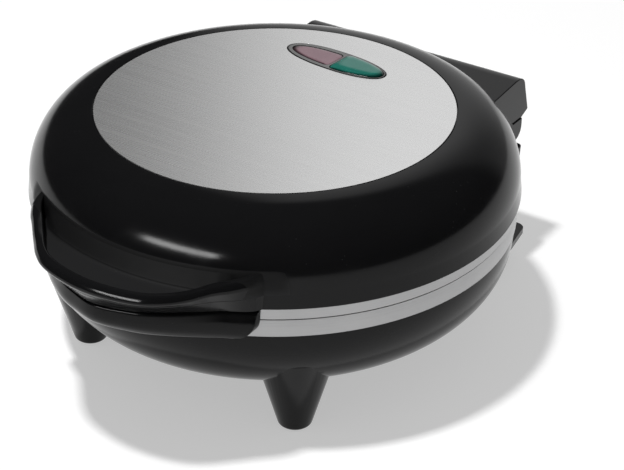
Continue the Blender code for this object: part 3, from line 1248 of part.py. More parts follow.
def lamp_holder(holder_material, lamp_material, screw_material, carrier):
    """Make the open box under the window, its two neon lamps and its two screws."""
    high = LID_CEILING_Z - SEAT_GAP
    low = high - HOLDER_DEPTH
    half = HOLDER_HALF_LENGTH
    side = HOLDER_WIDTH / 2
    far = half + HOLDER_EAR_LENGTH
    ear_low = high - HOLDER_WALL
    bar = box((-far, -side, ear_low), (far, side, high))
    made = piece("lamp_holder", bar, holder_material, carrier, WINDOW_PLACE, WINDOW_ROTATION)
    join(made, "box", box((-half, -side, low), (half, side, ear_low + HOLDER_WALL / 2)))
    cut(made, "inside", box(
        (HOLDER_WALL - half, HOLDER_WALL - side, low + HOLDER_WALL),
        (half - HOLDER_WALL, side - HOLDER_WALL, high + OVERRUN),
    ))
    mesh = screw_mesh(
        HOLDER_SCREW_RADIUS, HOLDER_WALL + 2 * SEAT_GAP + HOLDER_SCREW_BITE,
        HOLDER_SCREW_HEAD_RADIUS, HOLDER_SCREW_HEAD_HEIGHT,
    )
    hole = prism(circle(HOLDER_SCREW_RADIUS + SEAT_GAP, SMALL_SIDES), ear_low - OVERRUN, high + OVERRUN)
    for name, x in (("left", -HOLDER_SCREW_REACH), ("right", HOLDER_SCREW_REACH)):
        cut(made, f"{name}_hole", hole, (x, 0.0, 0.0))
        place = (*window_point(x, 0.0), ear_low - SEAT_GAP)
        piece(f"holder_screw_{name}", mesh, screw_material, carrier, place)
    end = LAMP_LENGTH / 2
    neck = LAMP_RADIUS / 2
    lamp = turned([
        (0.0, -end), (neck, -end), (LAMP_RADIUS, neck - end),
        (LAMP_RADIUS, end - neck), (neck, end), (0.0, end),
    ], SMALL_SIDES)
    lamp_z = low + HOLDER_WALL + SEAT_GAP + LAMP_RADIUS
    for name, x in (("red", -LAMP_X), ("green", LAMP_X)):
        place = (*window_point(x, 0.0), lamp_z)
        piece(f"{name}_lamp", lamp, lamp_material, carrier, place, (0.0, math.pi / 2, WINDOW_TURN))


def window_point(x, y):
    """Return the plan place of a point given from the window's middle."""
    across, along = math.cos(WINDOW_TURN), math.sin(WINDOW_TURN)
    return WINDOW_X + x * across - y * along, WINDOW_Y + x * along + y * across


def lamp_leads(live_material, neutral_material, carrier):
    """Make the two leads from the upper element to the lamp holder."""
    tail_x, tail_y = element_tail(-1)
    tail_z = level("upper", tail_distance("upper")) + SEAT_GAP
    holder_z = LID_CEILING_Z - SEAT_GAP - HOLDER_DEPTH / 2
    up = (0.0, 0.0, LEAD_END_REACH / 2)
    ahead = (0.0, -LEAD_RUN_REACH, 0.0)
    for name, side, finish_material in (("live", 1, live_material), ("neutral", -1, neutral_material)):
        place = window_point(side * LAMP_X, -HOLDER_WIDTH / 2 - SEAT_GAP)
        lead(f"lamp_lead_{name}", (side * tail_x, tail_y, tail_z), up,
             (*place, holder_z), ahead, finish_material, carrier)


def top_disc(finish_material, carrier):
    """Make the steel disc with its window hole."""
    low = DISC_SEAT_Z + SEAT_GAP
    mesh = prism(circle(DISC_RADIUS, BODY_SIDES), low, low + DISC_THICKNESS)
    made = piece("top_disc", mesh, finish_material, carrier)
    hole = prism(eye_outline(-WINDOW_GAP), low - OVERRUN, LID_TOP_Z + OVERRUN)
    cut(made, "window_hole", hole, WINDOW_PLACE, WINDOW_ROTATION)


def clear_scene():
    """Remove every object of the scene."""
    for old in list(bpy.data.objects):
        bpy.data.objects.remove(old, do_unlink=True)


def main():
    """Build the whole appliance."""
    clear_scene()
    black = material("black_plastic", (0.012, 0.012, 0.013), 0.16)
    steel = material("brushed_steel", (0.56, 0.56, 0.57), 0.32, 1.0)
    cast = material("cast_aluminium", (0.62, 0.62, 0.63), 0.38, 1.0)
    sheet = material("reflector_sheet", (0.75, 0.75, 0.76), 0.25, 1.0)
    sheath = material("element_sheath", (0.25, 0.24, 0.23), 0.45, 1.0)
    zinc = material("zinc_steel", (0.60, 0.60, 0.58), 0.35, 1.0)
    rubber = material("rubber", (0.03, 0.03, 0.03), 0.85)
    ceramic = material("white_ceramic", (0.82, 0.80, 0.76), 0.5)
    bezel = material("clear_grey_plastic", (0.50, 0.50, 0.50), 0.2)
    red = material("red_lens", (0.42, 0.20, 0.22), 0.18)
    green = material("green_lens", (0.02, 0.25, 0.19), 0.08)
    glass = material("lamp_glass", (0.80, 0.60, 0.50), 0.1)
    live = material("brown_lead", (0.15, 0.07, 0.04), 0.6)
    neutral = material("blue_lead", (0.05, 0.12, 0.35), 0.6)

    base = empty("base_carrier", BODY_ORIGIN)
    lid = empty("lid_hinge_axis", BODY_ORIGIN + Vector((0.0, HINGE_REACH, HINGE_Z)))

    base_shell(black, base)
    foot_pads(rubber, base)
    lower_plate = plate("lower_plate", "lower", LOWER_POCKET_DEPTH, cast, base)
    thermostat_pilots(lower_plate)
    element("lower_element", "lower", 1, sheath, base)
    reflector("lower_reflector", "lower", 1, sheet, base)
    plate_screws("lower", zinc, base)
    hinge_pins(zinc, base)
    thermostat(ceramic, zinc, base)
    terminal_block(ceramic, zinc, base)
    thermal_fuse(ceramic, base)
    base_leads(live, neutral, base)
    cord_inlet(rubber, base)

    lid_shell(black, lid)
    top_disc(steel, lid)
    window(bezel, red, green, lid)
    lamp_holder(ceramic, glass, zinc, lid)
    plate("upper_plate", "upper", UPPER_POCKET_DEPTH, cast, lid)
    element("upper_element", "upper", -1, sheath, lid)
    reflector("upper_reflector", "upper", -1, sheet, lid)
    plate_screws("upper", zinc, lid)
    lamp_leads(live, neutral, lid)


main()
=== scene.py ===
"""Looks of the electric omelette maker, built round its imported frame.

Metres, +Z up, z = 0 at the soles of the feet, the grip towards -Y and the hinge towards +Y.
Shapes are drawn about the upright axis of the round body and then moved to their place.
"""

import math

import bmesh
import bpy
from mathutils import Matrix, Vector


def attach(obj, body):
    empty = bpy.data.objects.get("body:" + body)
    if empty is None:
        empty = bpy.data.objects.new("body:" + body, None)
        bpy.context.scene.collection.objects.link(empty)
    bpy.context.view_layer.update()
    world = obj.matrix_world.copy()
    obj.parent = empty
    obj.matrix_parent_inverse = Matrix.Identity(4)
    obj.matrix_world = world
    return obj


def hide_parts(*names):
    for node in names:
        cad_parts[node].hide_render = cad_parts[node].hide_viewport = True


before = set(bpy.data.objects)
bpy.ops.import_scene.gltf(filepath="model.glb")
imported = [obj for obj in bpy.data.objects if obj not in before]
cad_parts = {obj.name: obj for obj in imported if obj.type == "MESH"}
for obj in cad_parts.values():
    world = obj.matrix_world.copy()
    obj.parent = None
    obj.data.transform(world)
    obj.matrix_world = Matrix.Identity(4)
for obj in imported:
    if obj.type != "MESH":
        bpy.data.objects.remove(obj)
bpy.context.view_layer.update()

# Fits
SEAT_GAP = 0.0003
MERGE_DISTANCE = 0.000001
WELD_DISTANCE = MERGE_DISTANCE * 5
SLIVER_LENGTH = MERGE_DISTANCE * 10
OVERRUN = 0.002
TRIM_DEPTH = 0.001

# Radius of the round body, which the parts round it follow
LID_RADIUS = 0.105

# Heights of the main levels
STAND_HEIGHT = 0.056
BAND_HEIGHT = 0.0135
LOWER_RIM_HEIGHT = 0.0078

# Bowl of the base
BOWL_SETBACK = 0.002
BOWL_SIDE_WIDTH = 0.035
BOWL_DEPTH = 0.037
BOWL_WIDEST_DROP = 0.0048
BASE_WALL = 0.0025

# Legs and their rubber pads
LEG_SETBACK = 0.020
LEG_ANGLE = math.radians(40.6)
LEG_SOLE_RADIUS = 0.0074
LEG_TAPER = math.radians(15.1)
LEG_SOLE_ROUND = 0.0022
LEG_CROWN_HEIGHT = 0.003
LEG_CROWN_INSET = 0.0015
LEG_TOP_DROP = 0.014
PAD_RADIUS = 0.0046
PAD_THICKNESS = 0.0026
PAD_PROUD = 0.0005

# Dome of the lid
LID_WALL = 0.0025
LID_SIDE_HEIGHT = 0.0058
RIM_LIP_WIDTH = 0.0004
LID_SIDE_DRAFT = 0.0007
SHOULDER_ROUND = 0.0285
DISC_OVERLAP = 0.0002
DISC_THICKNESS = 0.0008
DISC_SIDE_GAP = 0.0006

# Grip halves, swept round the body axis
GRIP_HALF_ANGLE = math.radians(33.5)
GRIP_DEPTH = 0.0226
SEAM_DEPTH = 0.0171
GRIP_RIM_HEIGHT = 0.0115
GRIP_END_RISE = 0.0039
GRIP_RIM_WIDTH = 0.0053
GRIP_RIM_ROUND = 0.0032
GRIP_SHELF_DROP = 0.0053
GRIP_SHELF_DEPTH = 0.0036
GRIP_SHELF_ROUND = 0.0018
GRIP_WALL_HEIGHT = 0.0078
GRIP_WALL = 0.0028
GRIP_SEAM_GAP = 0.0006
LOWER_GRIP_CREASE_DROP = 0.001
LOWER_GRIP_END_WIDTH = 0.002
LOWER_GRIP_SIDE_INSET = 0.00235
LOWER_GRIP_SIDE_DRAFT = 0.0003
LOWER_GRIP_CORNER_ROUND = 0.007
LOWER_GRIP_CORNER_RISE = 0.0015
LOWER_GRIP_BULGE = 0.0045
LOWER_GRIP_BULGE_SHARE = 0.1
LOWER_GRIP_POCKET_FLOOR = 0.0055
LOWER_GRIP_FLOOR_SHARE = 0.3
LOWER_GRIP_TOP_ROUND = 0.0016
BAND_CLEARANCE = 0.001

# Outlines of the grip: share of the half angle, share of the reach beyond the lid's radius
RIM_OUTLINE_SHARES = (
    (0.00, 1.00), (0.18, 0.97), (0.34, 0.893), (0.45, 0.76), (0.55, 0.599),
    (0.69, 0.404), (0.79, 0.30), (0.90, 0.14), (1.00, -0.12),
)
SEAM_OUTLINE_SHARES = (
    (0.00, 1.00), (0.17, 0.877), (0.28, 0.774), (0.43, 0.56), (0.58, 0.332),
    (0.71, 0.165), (0.80, 0.135), (0.88, 0.115), (0.94, 0.05), (1.00, -0.08),
)
RIM_RISE_SHARES = ((0.00, 0.0), (0.42, 0.0), (0.55, 0.10), (0.69, 0.62), (0.82, 0.80), (1.00, 1.0))
GRIP_POCKET_SHARE = 0.55

# Hinge
HINGE_SETOFF = 0.00525
HINGE_RISE = 0.0055
EAR_RADIUS = 0.0061
EAR_OUTER_X = 0.0573
EAR_WIDTH = 0.0098
EAR_STEP = 0.0004
LUG_WIDTH = 0.0111
HINGE_SIDE_GAP = 0.0004
LUG_POCKET_GAP = 0.0008
EAR_NOTCH_GAP = 0.0006
PIN_RADIUS = 0.002
PIN_BLIND_DEPTH = 0.006
PIN_HEAD_RADIUS = 0.0028
PIN_HEAD_LENGTH = 0.0018

# Hinge block of the lid, in its side view: depths from the hinge axis, height over the base rim
BLOCK_SIDE_STEP = 0.0006
BLOCK_REAR_DEPTH = 0.01225
BLOCK_TOP_RISE = 0.0302
BLOCK_BOTTOM_RISE = 0.0088
BLOCK_ROOT_DEPTH = 0.03025
BLOCK_SHOULDER_DEPTH = 0.02155
BLOCK_EDGE_DEPTH = 0.00275
BLOCK_TOP_FALL = 0.0018
BLOCK_EDGE_FALL = 0.0048
BLOCK_EDGE_SETBACK = 0.0043
BLOCK_TOP_SETBACK = 0.0127
BLOCK_HEEL_RISE = 0.0025
BLOCK_HEEL_SETBACK = 0.0061

# Rear block of the base
REAR_BLOCK_SIDE_MARGIN = 0.0053
REAR_BLOCK_SIDE_DRAFT = 0.0022
REAR_BLOCK_SETBACK = 0.00155
REAR_BLOCK_DEPTH = 0.0467
REAR_BLOCK_ROUND = 0.003
REAR_FOOT_EXTENT = 0.0071
REAR_FOOT_THICKNESS = 0.0028
REAR_FOOT_SIDE_MARGIN = 0.0049
REAR_FOOT_SPREAD = 0.004
REAR_FOOT_LENGTH = 0.028
REAR_FOOT_ROUND = 0.0045

# Cooking plates
PLATE_RIM_SETBACK = 0.0012
LOWER_RIM_FOOT_HEIGHT = 0.0032
PLATE_STEP_WIDTH = 0.0053
PLATE_BODY_DRAFT = 0.004
PLATE_WALL = 0.003
LOWER_WORKS_DEPTH = 0.021
UPPER_POCKET_DEPTH = 0.012
POCKET_DIVIDER = 0.012
POCKET_CORNER_ROUND = 0.014
POCKET_DRAFT = 0.0025
POCKET_FLOOR_ROUND = 0.004

# Heating element, which the ridge on a plate's back follows
ELEMENT_SETBACK = 0.016
ELEMENT_TUBE_RADIUS = 0.0032
ELEMENT_RIDGE_WALL = 0.002
ELEMENT_RIDGE_HEIGHT = 0.005

# Plate fastening, alike in base and lid
FASTENER_SETBACK = 0.0285
BOSS_RADIUS = 0.0042
POST_RADIUS = 0.0055
SCREW_SHANK_RADIUS = 0.0017
SCREW_HEAD_RADIUS = 0.0034
SCREW_HEAD_HEIGHT = 0.0022
SCREW_BITE = 0.0036
SCREW_SEAT_THICKNESS = 0.004
WELL_RADIUS = 0.004
SHANK_CLEARANCE = 0.0004
REFLECTOR_THICKNESS = 0.0008

# Cord inlet in the rear wall of the base
INLET_DROP = 0.022
INLET_BORE_RADIUS = 0.0034
INLET_NECK_RADIUS = 0.0052
INLET_FLANGE_RADIUS = 0.0078
INLET_FLANGE_THICKNESS = 0.0018
INLET_NOSE_LENGTH = 0.0026
INLET_NOSE_RADIUS = 0.0062

# Window in the lid's disc
WINDOW_X = -0.002
WINDOW_SETBACK = 0.0264
WINDOW_TURN = math.radians(-3.9)
WINDOW_LENGTH_SHARE = 0.3395
WINDOW_WIDTH_SHARE = 0.1145
WINDOW_GAP = 0.0005
WINDOW_POWER = 2.2
BEZEL_PROUD = 0.0002
RED_LENS_INSET = 0.0024
GREEN_LENS_INSET = 0.001
LENS_SPLIT_X = -0.0006
LENS_WEB = 0.0014
LENS_CORNER_ROUND = 0.0024
LENS_DOME_WIDTH = 0.0042
RED_LENS_RISE = 0.0003
GREEN_LENS_RISE = 0.0016

# Facets and softened edges
SHARP_ANGLE = math.radians(30.0)
LARGE_FACE_WEIGHT = 60
EASE_STEPS = 3
THIN_EASE_STEPS = 2
BODY_SIDES = 224
ROUND_SIDES = 48
SMALL_SIDES = 28
ARC_STEPS = 36
GRIP_STEPS = 120
GRIP_POCKET_STEPS = 24
POCKET_ARC_STEPS = 72
CORNER_STEPS = 8
BEND_STEPS = 10
SOFT_STEPS = 4
EYE_STEPS = 48
FINE_EDGE = 0.0003
SOFT_EDGE = 0.0006
BLOCK_EDGE = 0.0007
POCKET_LIP = 0.0009

# Small details that only the looks need
DISC_EASE = 0.0002
BEZEL_EASE = 0.00015
LENS_RINGS = 10
GRIP_CREST_DROP = GRIP_RIM_ROUND / 8
GRIP_SLANT_WIDTH = GRIP_RIM_WIDTH / 4 * 1.3
GRIP_FLAT_WIDTH = GRIP_RIM_WIDTH / 8
GRIP_CREST_CUTS = (0.0006, 0.0010, 0.0012, 0.0012)
PAD_DISH = 0.0004
PAD_DISH_RADIUS = PAD_RADIUS * 0.55
PAD_RING_RADIUS = PAD_RADIUS * 0.65
RIM_LEAN = 0.00035
RIM_EASE = 0.0002
UPPER_RIM_EASE = 0.00045
THREAD_PITCH = 0.0009
THREAD_DEPTH = 0.0003
SCREW_HEAD_CUT = SCREW_HEAD_HEIGHT * 0.7
CROSS_ARM = SCREW_HEAD_RADIUS * 0.52
CROSS_BLADE = SCREW_HEAD_RADIUS * 0.13
CROSS_FLOOR = -SCREW_HEAD_HEIGHT * 0.35
PIN_HEAD_CUT = PIN_HEAD_LENGTH * 0.8
INLET_RIB = INLET_NOSE_LENGTH / 3
INLET_RIB_FALL = INLET_RIB * 1.2

# Camera: its bearing and rise from the target, its distance, its lens and sensor in millimetres
VIEW_AZIMUTH = math.radians(35.0)
VIEW_ELEVATION = math.radians(29.9)
CAMERA_DISTANCE = 0.7875
CAMERA_TARGET = (0.0, 0.00255, 0.056)
CAMERA_LENS = 105.06
CAMERA_SENSOR = 36.0
CAMERA_SHIFT = (0.0592, -0.0520)

# Studio: floor, surroundings that only shiny surfaces see, lamps, and the light of the air
FLOOR_RADIUS = 5.0
FLOOR_SIDES = 96
FLOOR_TONE = 0.62
FLOOR_GLOW = 0.45
WALL_RADIUS = 3.0
WALL_SUBDIVISIONS = 4
WALL_FADE = (math.radians(-7.5), math.radians(3.4))
WALL_TONES = (0.015, 0.80)
WALL_FRONT = (0.46, 0.62)
WALL_LIFT_Z = (0.44 * WALL_RADIUS, 0.57 * WALL_RADIUS)
WALL_LIFT = (0.88, 1.06)
WALL_SIDE = (math.radians(9.0), math.radians(45.0))
WALL_SIDE_TONES = (1.0, 0.35)
LAMP_TARGET = (0.0, 0.0, 0.08)
KEY_DIRECTION = (-0.12, -0.22, 1.0)
KEY_DISTANCE = 2.0
KEY_SIZE = 0.14
KEY_POWER = 34.0
STRIP_BEARING = (math.radians(-8.0), math.radians(24.5))
STRIP_DISTANCE = 1.5
STRIP_SIZE = (0.86, 0.17)
STRIP_POWER = 10.0
AIR_TONE = 0.22

# Reaches from the body axis, worked out from the sizes above
BOWL_RADIUS = LID_RADIUS - BOWL_SETBACK
BOWL_FLOOR_RADIUS = BOWL_RADIUS - BOWL_SIDE_WIDTH
LEG_CIRCLE_RADIUS = BOWL_RADIUS - LEG_SETBACK
SHOULDER_CENTRE = LID_RADIUS - LID_SIDE_DRAFT - SHOULDER_ROUND
DISC_RADIUS = SHOULDER_CENTRE + DISC_OVERLAP
GRIP_REACH = LID_RADIUS + GRIP_DEPTH
SEAM_REACH = LID_RADIUS + SEAM_DEPTH
GRIP_SHELF_REACH = LID_RADIUS + GRIP_SHELF_DEPTH
LOWER_GRIP_HALF_WIDTH = LID_RADIUS * math.sin(GRIP_HALF_ANGLE) - LOWER_GRIP_SIDE_INSET
HINGE_REACH = LID_RADIUS + HINGE_SETOFF
EAR_INNER_X = EAR_OUTER_X - EAR_WIDTH
LUG_OUTER_X = EAR_INNER_X - HINGE_SIDE_GAP
LUG_INNER_X = LUG_OUTER_X - LUG_WIDTH
BLOCK_HALF_WIDTH = EAR_OUTER_X - BLOCK_SIDE_STEP
BLOCK_REAR_REACH = HINGE_REACH + BLOCK_REAR_DEPTH
BLOCK_ROOT_REACH = HINGE_REACH - BLOCK_ROOT_DEPTH
BLOCK_SHOULDER_REACH = HINGE_REACH - BLOCK_SHOULDER_DEPTH
BLOCK_EDGE_REACH = HINGE_REACH - BLOCK_EDGE_DEPTH
REAR_BLOCK_HALF_WIDTH = EAR_OUTER_X + REAR_BLOCK_SIDE_MARGIN
REAR_BLOCK_FOOT_HALF_WIDTH = REAR_BLOCK_HALF_WIDTH - REAR_BLOCK_SIDE_DRAFT
REAR_BLOCK_REACH = HINGE_REACH - REAR_BLOCK_SETBACK
REAR_BLOCK_FRONT_REACH = REAR_BLOCK_REACH - REAR_BLOCK_DEPTH
REAR_FOOT_HALF_WIDTH = REAR_BLOCK_HALF_WIDTH + REAR_FOOT_SIDE_MARGIN
PLATE_RIM_RADIUS = LID_RADIUS - PLATE_RIM_SETBACK
PLATE_BODY_TOP_RADIUS = PLATE_RIM_RADIUS - PLATE_STEP_WIDTH
PLATE_BODY_RADIUS = PLATE_BODY_TOP_RADIUS - PLATE_BODY_DRAFT
POCKET_RADIUS = PLATE_BODY_RADIUS - PLATE_WALL
FASTENER_CIRCLE_RADIUS = PLATE_BODY_RADIUS - FASTENER_SETBACK
ELEMENT_RADIUS = FASTENER_CIRCLE_RADIUS - ELEMENT_SETBACK
WINDOW_Y = DISC_RADIUS - WINDOW_SETBACK
WINDOW_HALF_LENGTH = DISC_RADIUS * WINDOW_LENGTH_SHARE
WINDOW_HALF_WIDTH = DISC_RADIUS * WINDOW_WIDTH_SHARE

# Levels worked out from the sizes above
BASE_RIM_Z = STAND_HEIGHT
LOWER_PLATE_TOP_Z = BASE_RIM_Z + LOWER_RIM_HEIGHT
UPPER_PLATE_FACE_Z = LOWER_PLATE_TOP_Z + SEAT_GAP
LID_RIM_Z = BASE_RIM_Z + BAND_HEIGHT
SHOULDER_Z = LID_RIM_Z + LID_SIDE_HEIGHT
LID_TOP_Z = SHOULDER_Z + SHOULDER_ROUND
BOWL_FLOOR_Z = BASE_RIM_Z - BOWL_DEPTH
BOWL_WIDEST_Z = BASE_RIM_Z - BOWL_WIDEST_DROP
HINGE_Z = BASE_RIM_Z + HINGE_RISE
REAR_FOOT_Z = BOWL_FLOOR_Z - REAR_FOOT_EXTENT
REAR_FLOOR_Z = REAR_FOOT_Z + REAR_FOOT_THICKNESS
LOWER_POCKET_DEPTH = BOWL_DEPTH - LOWER_WORKS_DEPTH
DISC_SEAT_Z = LID_TOP_Z - DISC_THICKNESS - SEAT_GAP
LID_CEILING_Z = DISC_SEAT_Z - LID_WALL
SHELF_Z = LID_RIM_Z + GRIP_RIM_HEIGHT - GRIP_SHELF_DROP
AXIS_Y = (GRIP_REACH - BLOCK_REAR_REACH) / 2

# Tones of the finishes: dark and light, as red, green and blue
BLACK = (0.0, 0.0, 0.0)
WHITE = (1.0, 1.0, 1.0)
BLACK_TONES = ((0.0052, 0.0052, 0.0056), (0.0085, 0.0085, 0.009))
# Painted sheen of the grip's recess: a paler black, lighter at the shelf and darker up its wall, that stands in
# for reflected light
PAINTED_SHEEN_TONES = ((0.017, 0.017, 0.0175), (0.007, 0.007, 0.0073))
DUST_TONE = (0.06, 0.06, 0.058)
STEEL_TONES = ((0.79, 0.79, 0.795), (0.93, 0.93, 0.925))
ALUMINIUM_TONES = ((0.30, 0.30, 0.305), (0.42, 0.42, 0.42))
COAT_TONES = ((0.020, 0.020, 0.021), (0.055, 0.055, 0.056))

# Non-stick coat of the plates: where it ends outwards and behind the cooking face
COAT_REACH = (PLATE_BODY_TOP_RADIUS - 0.0002, PLATE_BODY_TOP_RADIUS + 0.0002)
COAT_DEPTH = (LOWER_POCKET_DEPTH + 0.0006, LOWER_POCKET_DEPTH + 0.001)

# Satin zone of the grip's recess, also painted paler there as a stand-in for reflected light: the reaches or
# heights that each of its fades runs between
SATIN_AND_PAINTED_SHEEN_FLOOR_FADE = (0.0002, 0.0004)
SATIN_AND_PAINTED_SHEEN_WALL_REACH = (GRIP_SHELF_REACH, GRIP_SHELF_REACH + 0.0003)
SATIN_AND_PAINTED_SHEEN_WALL_FOOT = (SHELF_Z - 0.0003, SHELF_Z - 0.0001)
SATIN_AND_PAINTED_SHEEN_WALL_TOP = (SHELF_Z + GRIP_WALL_HEIGHT + 0.0004, SHELF_Z + GRIP_WALL_HEIGHT + 0.0024)
SATIN_AND_PAINTED_SHEEN_DOME_FADE = (LID_RADIUS - 0.0045, LID_RADIUS - 0.0035)
SATIN_AND_PAINTED_SHEEN_FRONT = (-0.082, -0.078)
# Height over which the painted sheen fades from its paler shelf tone to its darker wall tone
PAINTED_SHEEN_RISE = (SHELF_Z, SHELF_Z + 0.003)

# Share of a speck's size where it is full, and how dark the window's pieces turn at their edge, a painted shade
SPECK_CORE = 0.6
LENS_EDGE_SHADE = 0.18

# Plain metals: dark and light tone, roughness, share of drawn lines
METALS = {
    "zinc_steel": ((0.50, 0.50, 0.47), (0.66, 0.66, 0.64), 0.28, 0.0),
    "element_sheath": ((0.17, 0.155, 0.14), (0.33, 0.31, 0.30), 0.38, 0.3),
    "reflector_sheet": ((0.68, 0.68, 0.69), (0.82, 0.82, 0.82), 0.18, 0.5),
}

# Matt stuffs: dark and light tone, roughness, grain in turns per metre, share of specks
MATTS = {
    "rubber": ((0.018, 0.018, 0.018), (0.035, 0.035, 0.034), 0.72, 900, 0.0),
    "white_ceramic": ((0.70, 0.68, 0.63), (0.84, 0.82, 0.78), 0.45, 900, 0.3),
    "fuse_case": ((0.55, 0.53, 0.48), (0.70, 0.68, 0.62), 0.35, 900, 0.0),
    "holder_plastic": ((0.62, 0.62, 0.60), (0.74, 0.74, 0.72), 0.35, 500, 0.0),
    "lamp_glass": ((0.62, 0.42, 0.34), (0.85, 0.66, 0.56), 0.08, 200, 0.0),
    "brown_lead": ((0.10, 0.045, 0.025), (0.18, 0.085, 0.05), 0.5, 900, 0.0),
    "blue_lead": ((0.03, 0.09, 0.28), (0.06, 0.15, 0.42), 0.5, 900, 0.0),
}

# Clear plastics of the window: dark and light tone, roughness, share of ribs, painted edge shade, inset
CLEARS = {
    "window_frame_plastic": ((0.10, 0.10, 0.10), (0.16, 0.16, 0.158), 0.22, 0.0, (0.96, 1.0), 0.0),
    "red_lens_plastic": ((0.17, 0.10, 0.12), (0.26, 0.16, 0.185), 0.2, 0.4, (0.84, 0.98), RED_LENS_INSET),
    "green_lens_plastic": ((0.008, 0.10, 0.078), (0.03, 0.21, 0.165), 0.1, 0.4, (0.9, 1.0), GREEN_LENS_INSET),
}


def smooth_value(table, share):
    """Read a table of (share, value) as one smooth curve."""
    last = len(table) - 2
    index = 0
    while index < last and share > table[index + 1][0]:
        index += 1
    (x0, y0), (x1, y1) = table[index], table[index + 1]
    before = table[max(index - 1, 0)]
    after = table[min(index + 2, last + 1)]
    slope0 = (y1 - before[1]) / (x1 - before[0])
    slope1 = (after[1] - y0) / (after[0] - x0)
    if index == 0:
        slope0 = 0.0
    span = x1 - x0
    t = (share - x0) / span
    return (
        y0 * (1 + 2 * t) * (1 - t) ** 2
        + slope0 * span * t * (1 - t) ** 2
        + y1 * t * t * (3 - 2 * t)
        + slope1 * span * t * t * (t - 1)
    )


def circle(radius, sides, centre=(0.0, 0.0)):
    """Return a round outline about a centre."""
    turns = (math.tau * step / sides for step in range(sides))
    return [(centre[0] + radius * math.cos(t), centre[1] + radius * math.sin(t)) for t in turns]


def arc(centre, radii, start, end, steps):
    """Return points on a round arc, or on an elliptic one, between two angles."""
    across, up = radii if isinstance(radii, tuple) else (radii, radii)
    turns = (start + (end - start) * step / steps for step in range(steps + 1))
    return [(centre[0] + across * math.cos(t), centre[1] + up * math.sin(t)) for t in turns]


def bent(start, pull, end, steps):
    """Return points on a smooth bend from start to end, pulled towards a third point."""
    return [
        tuple(a * (1 - t) ** 2 + 2 * b * t * (1 - t) + c * t * t for a, b, c in zip(start, pull, end))
        for t in (step / steps for step in range(steps + 1))
    ]


def mirrored(line, x=1, y=1):
    """Return a line of points closed by its mirror image."""
    return line + [(x * u, y * v) for u, v in reversed(line)]


def softened(points, cuts):
    """Return an open line with its inner corners bent, each over its own cut."""
    line = [points[0]]
    for index, cut_length in enumerate(cuts, 1):
        here = Vector(points[index])
        ends = []
        for other in (points[index - 1], points[index + 1]):
            side = Vector(other) - here
            length = side.length
            ends.append(here + side * (min(cut_length / length, 0.5) if length > MERGE_DISTANCE else 0.0))
        line += bent(tuple(ends[0]), tuple(here), tuple(ends[1]), SOFT_STEPS)
    return line + [points[-1]]


def closed_up(bm):
    """Merge a bmesh's doubles, turn its faces outwards and return its mesh."""
    bmesh.ops.remove_doubles(bm, verts=bm.verts, dist=MERGE_DISTANCE)
    bmesh.ops.recalc_face_normals(bm, faces=bm.faces)
    mesh = bpy.data.meshes.new("shape")
    bm.to_mesh(mesh)
    bm.free()
    return mesh


def turned(profile, sides):
    """Turn a closed profile of (radius, height) points about the upright axis."""
    bm = bmesh.new()
    verts = [bm.verts.new((radius, 0.0, height)) for radius, height in profile]
    pairs = zip(verts, verts[1:] + verts[:1])
    edges = [bm.edges.new(pair) for pair in pairs if max(vert.co.x for vert in pair) > 0.0]
    bmesh.ops.spin(bm, geom=verts + edges, axis=(0, 0, 1), cent=(0, 0, 0), angle=math.tau, steps=sides)
    return closed_up(bm)


def prism(outline, low, high, along="Z"):
    """Extrude an outline from low to high; across X it is (y, z), across Y it is (x, z)."""
    def at(u, v, w):
        return {"X": (w, u, v), "Y": (u, w, v), "Z": (u, v, w)}[along]

    bm = bmesh.new()
    face = bm.faces.new([bm.verts.new(at(u, v, low)) for u, v in outline])
    made = bmesh.ops.extrude_face_region(bm, geom=[face])
    moved = [item for item in made["geom"] if isinstance(item, bmesh.types.BMVert)]
    bmesh.ops.translate(bm, vec=at(0, 0, high - low), verts=moved)
    return closed_up(bm)


def loft(rings):
    """Join closed rings of points, one after the other, and cap both ends."""
    bm = bmesh.new()
    loops = [[bm.verts.new(point) for point in ring] for ring in rings]
    for near, far in zip(loops, loops[1:]):
        for index in range(len(near)):
            following = (index + 1) % len(near)
            bm.faces.new((near[index], near[following], far[following], far[index]))
    bm.faces.new(loops[0])
    bm.faces.new(loops[-1])
    bmesh.ops.remove_doubles(bm, verts=bm.verts, dist=MERGE_DISTANCE)
    bmesh.ops.triangulate(bm, faces=bm.faces)
    return closed_up(bm)


def eased(mesh, width, place, steps=EASE_STEPS, axis=2):
    """Round the edges of a mesh that lie at a place along an axis, on either side of its middle."""
    bm = bmesh.new()
    bm.from_mesh(mesh)
    edges = [
        edge for edge in bm.edges
        if all(abs(abs(vert.co[axis]) - place) < MERGE_DISTANCE for vert in edge.verts)
    ]
    bmesh.ops.bevel(
        bm, geom=edges, offset=width, offset_type="OFFSET", segments=steps, profile=0.5,
        affect="EDGES", clamp_overlap=True,
    )
    bm.to_mesh(mesh)
    bm.free()
    return mesh


def rod(radius, low, high, sides=ROUND_SIDES):
    """Return an upright rod on the body axis."""
    return prism(circle(radius, sides), low, high)


def box(low, high):
    """Return a block between two corners."""
    (x0, y0, z0), (x1, y1, z1) = low, high
    return prism([(x0, y0), (x1, y0), (x1, y1), (x0, y1)], z0, z1)


def at_places(mesh, places):
    """Return one mesh with a copy of a shape at each plan place."""
    bm = bmesh.new()
    for x, y in places:
        known = len(bm.verts)
        bm.from_mesh(mesh)
        bm.verts.ensure_lookup_table()
        bmesh.ops.transform(bm, matrix=Matrix.Translation((x, y, 0.0)), verts=bm.verts[known:])
    return closed_up(bm)


def put(mesh, shift, turn=0.0, axis="Z"):
    """Turn a mesh about an axis, move it to its place and return it."""
    mesh.transform(Matrix.Translation(shift) @ Matrix.Rotation(turn, 4, axis))
    return mesh


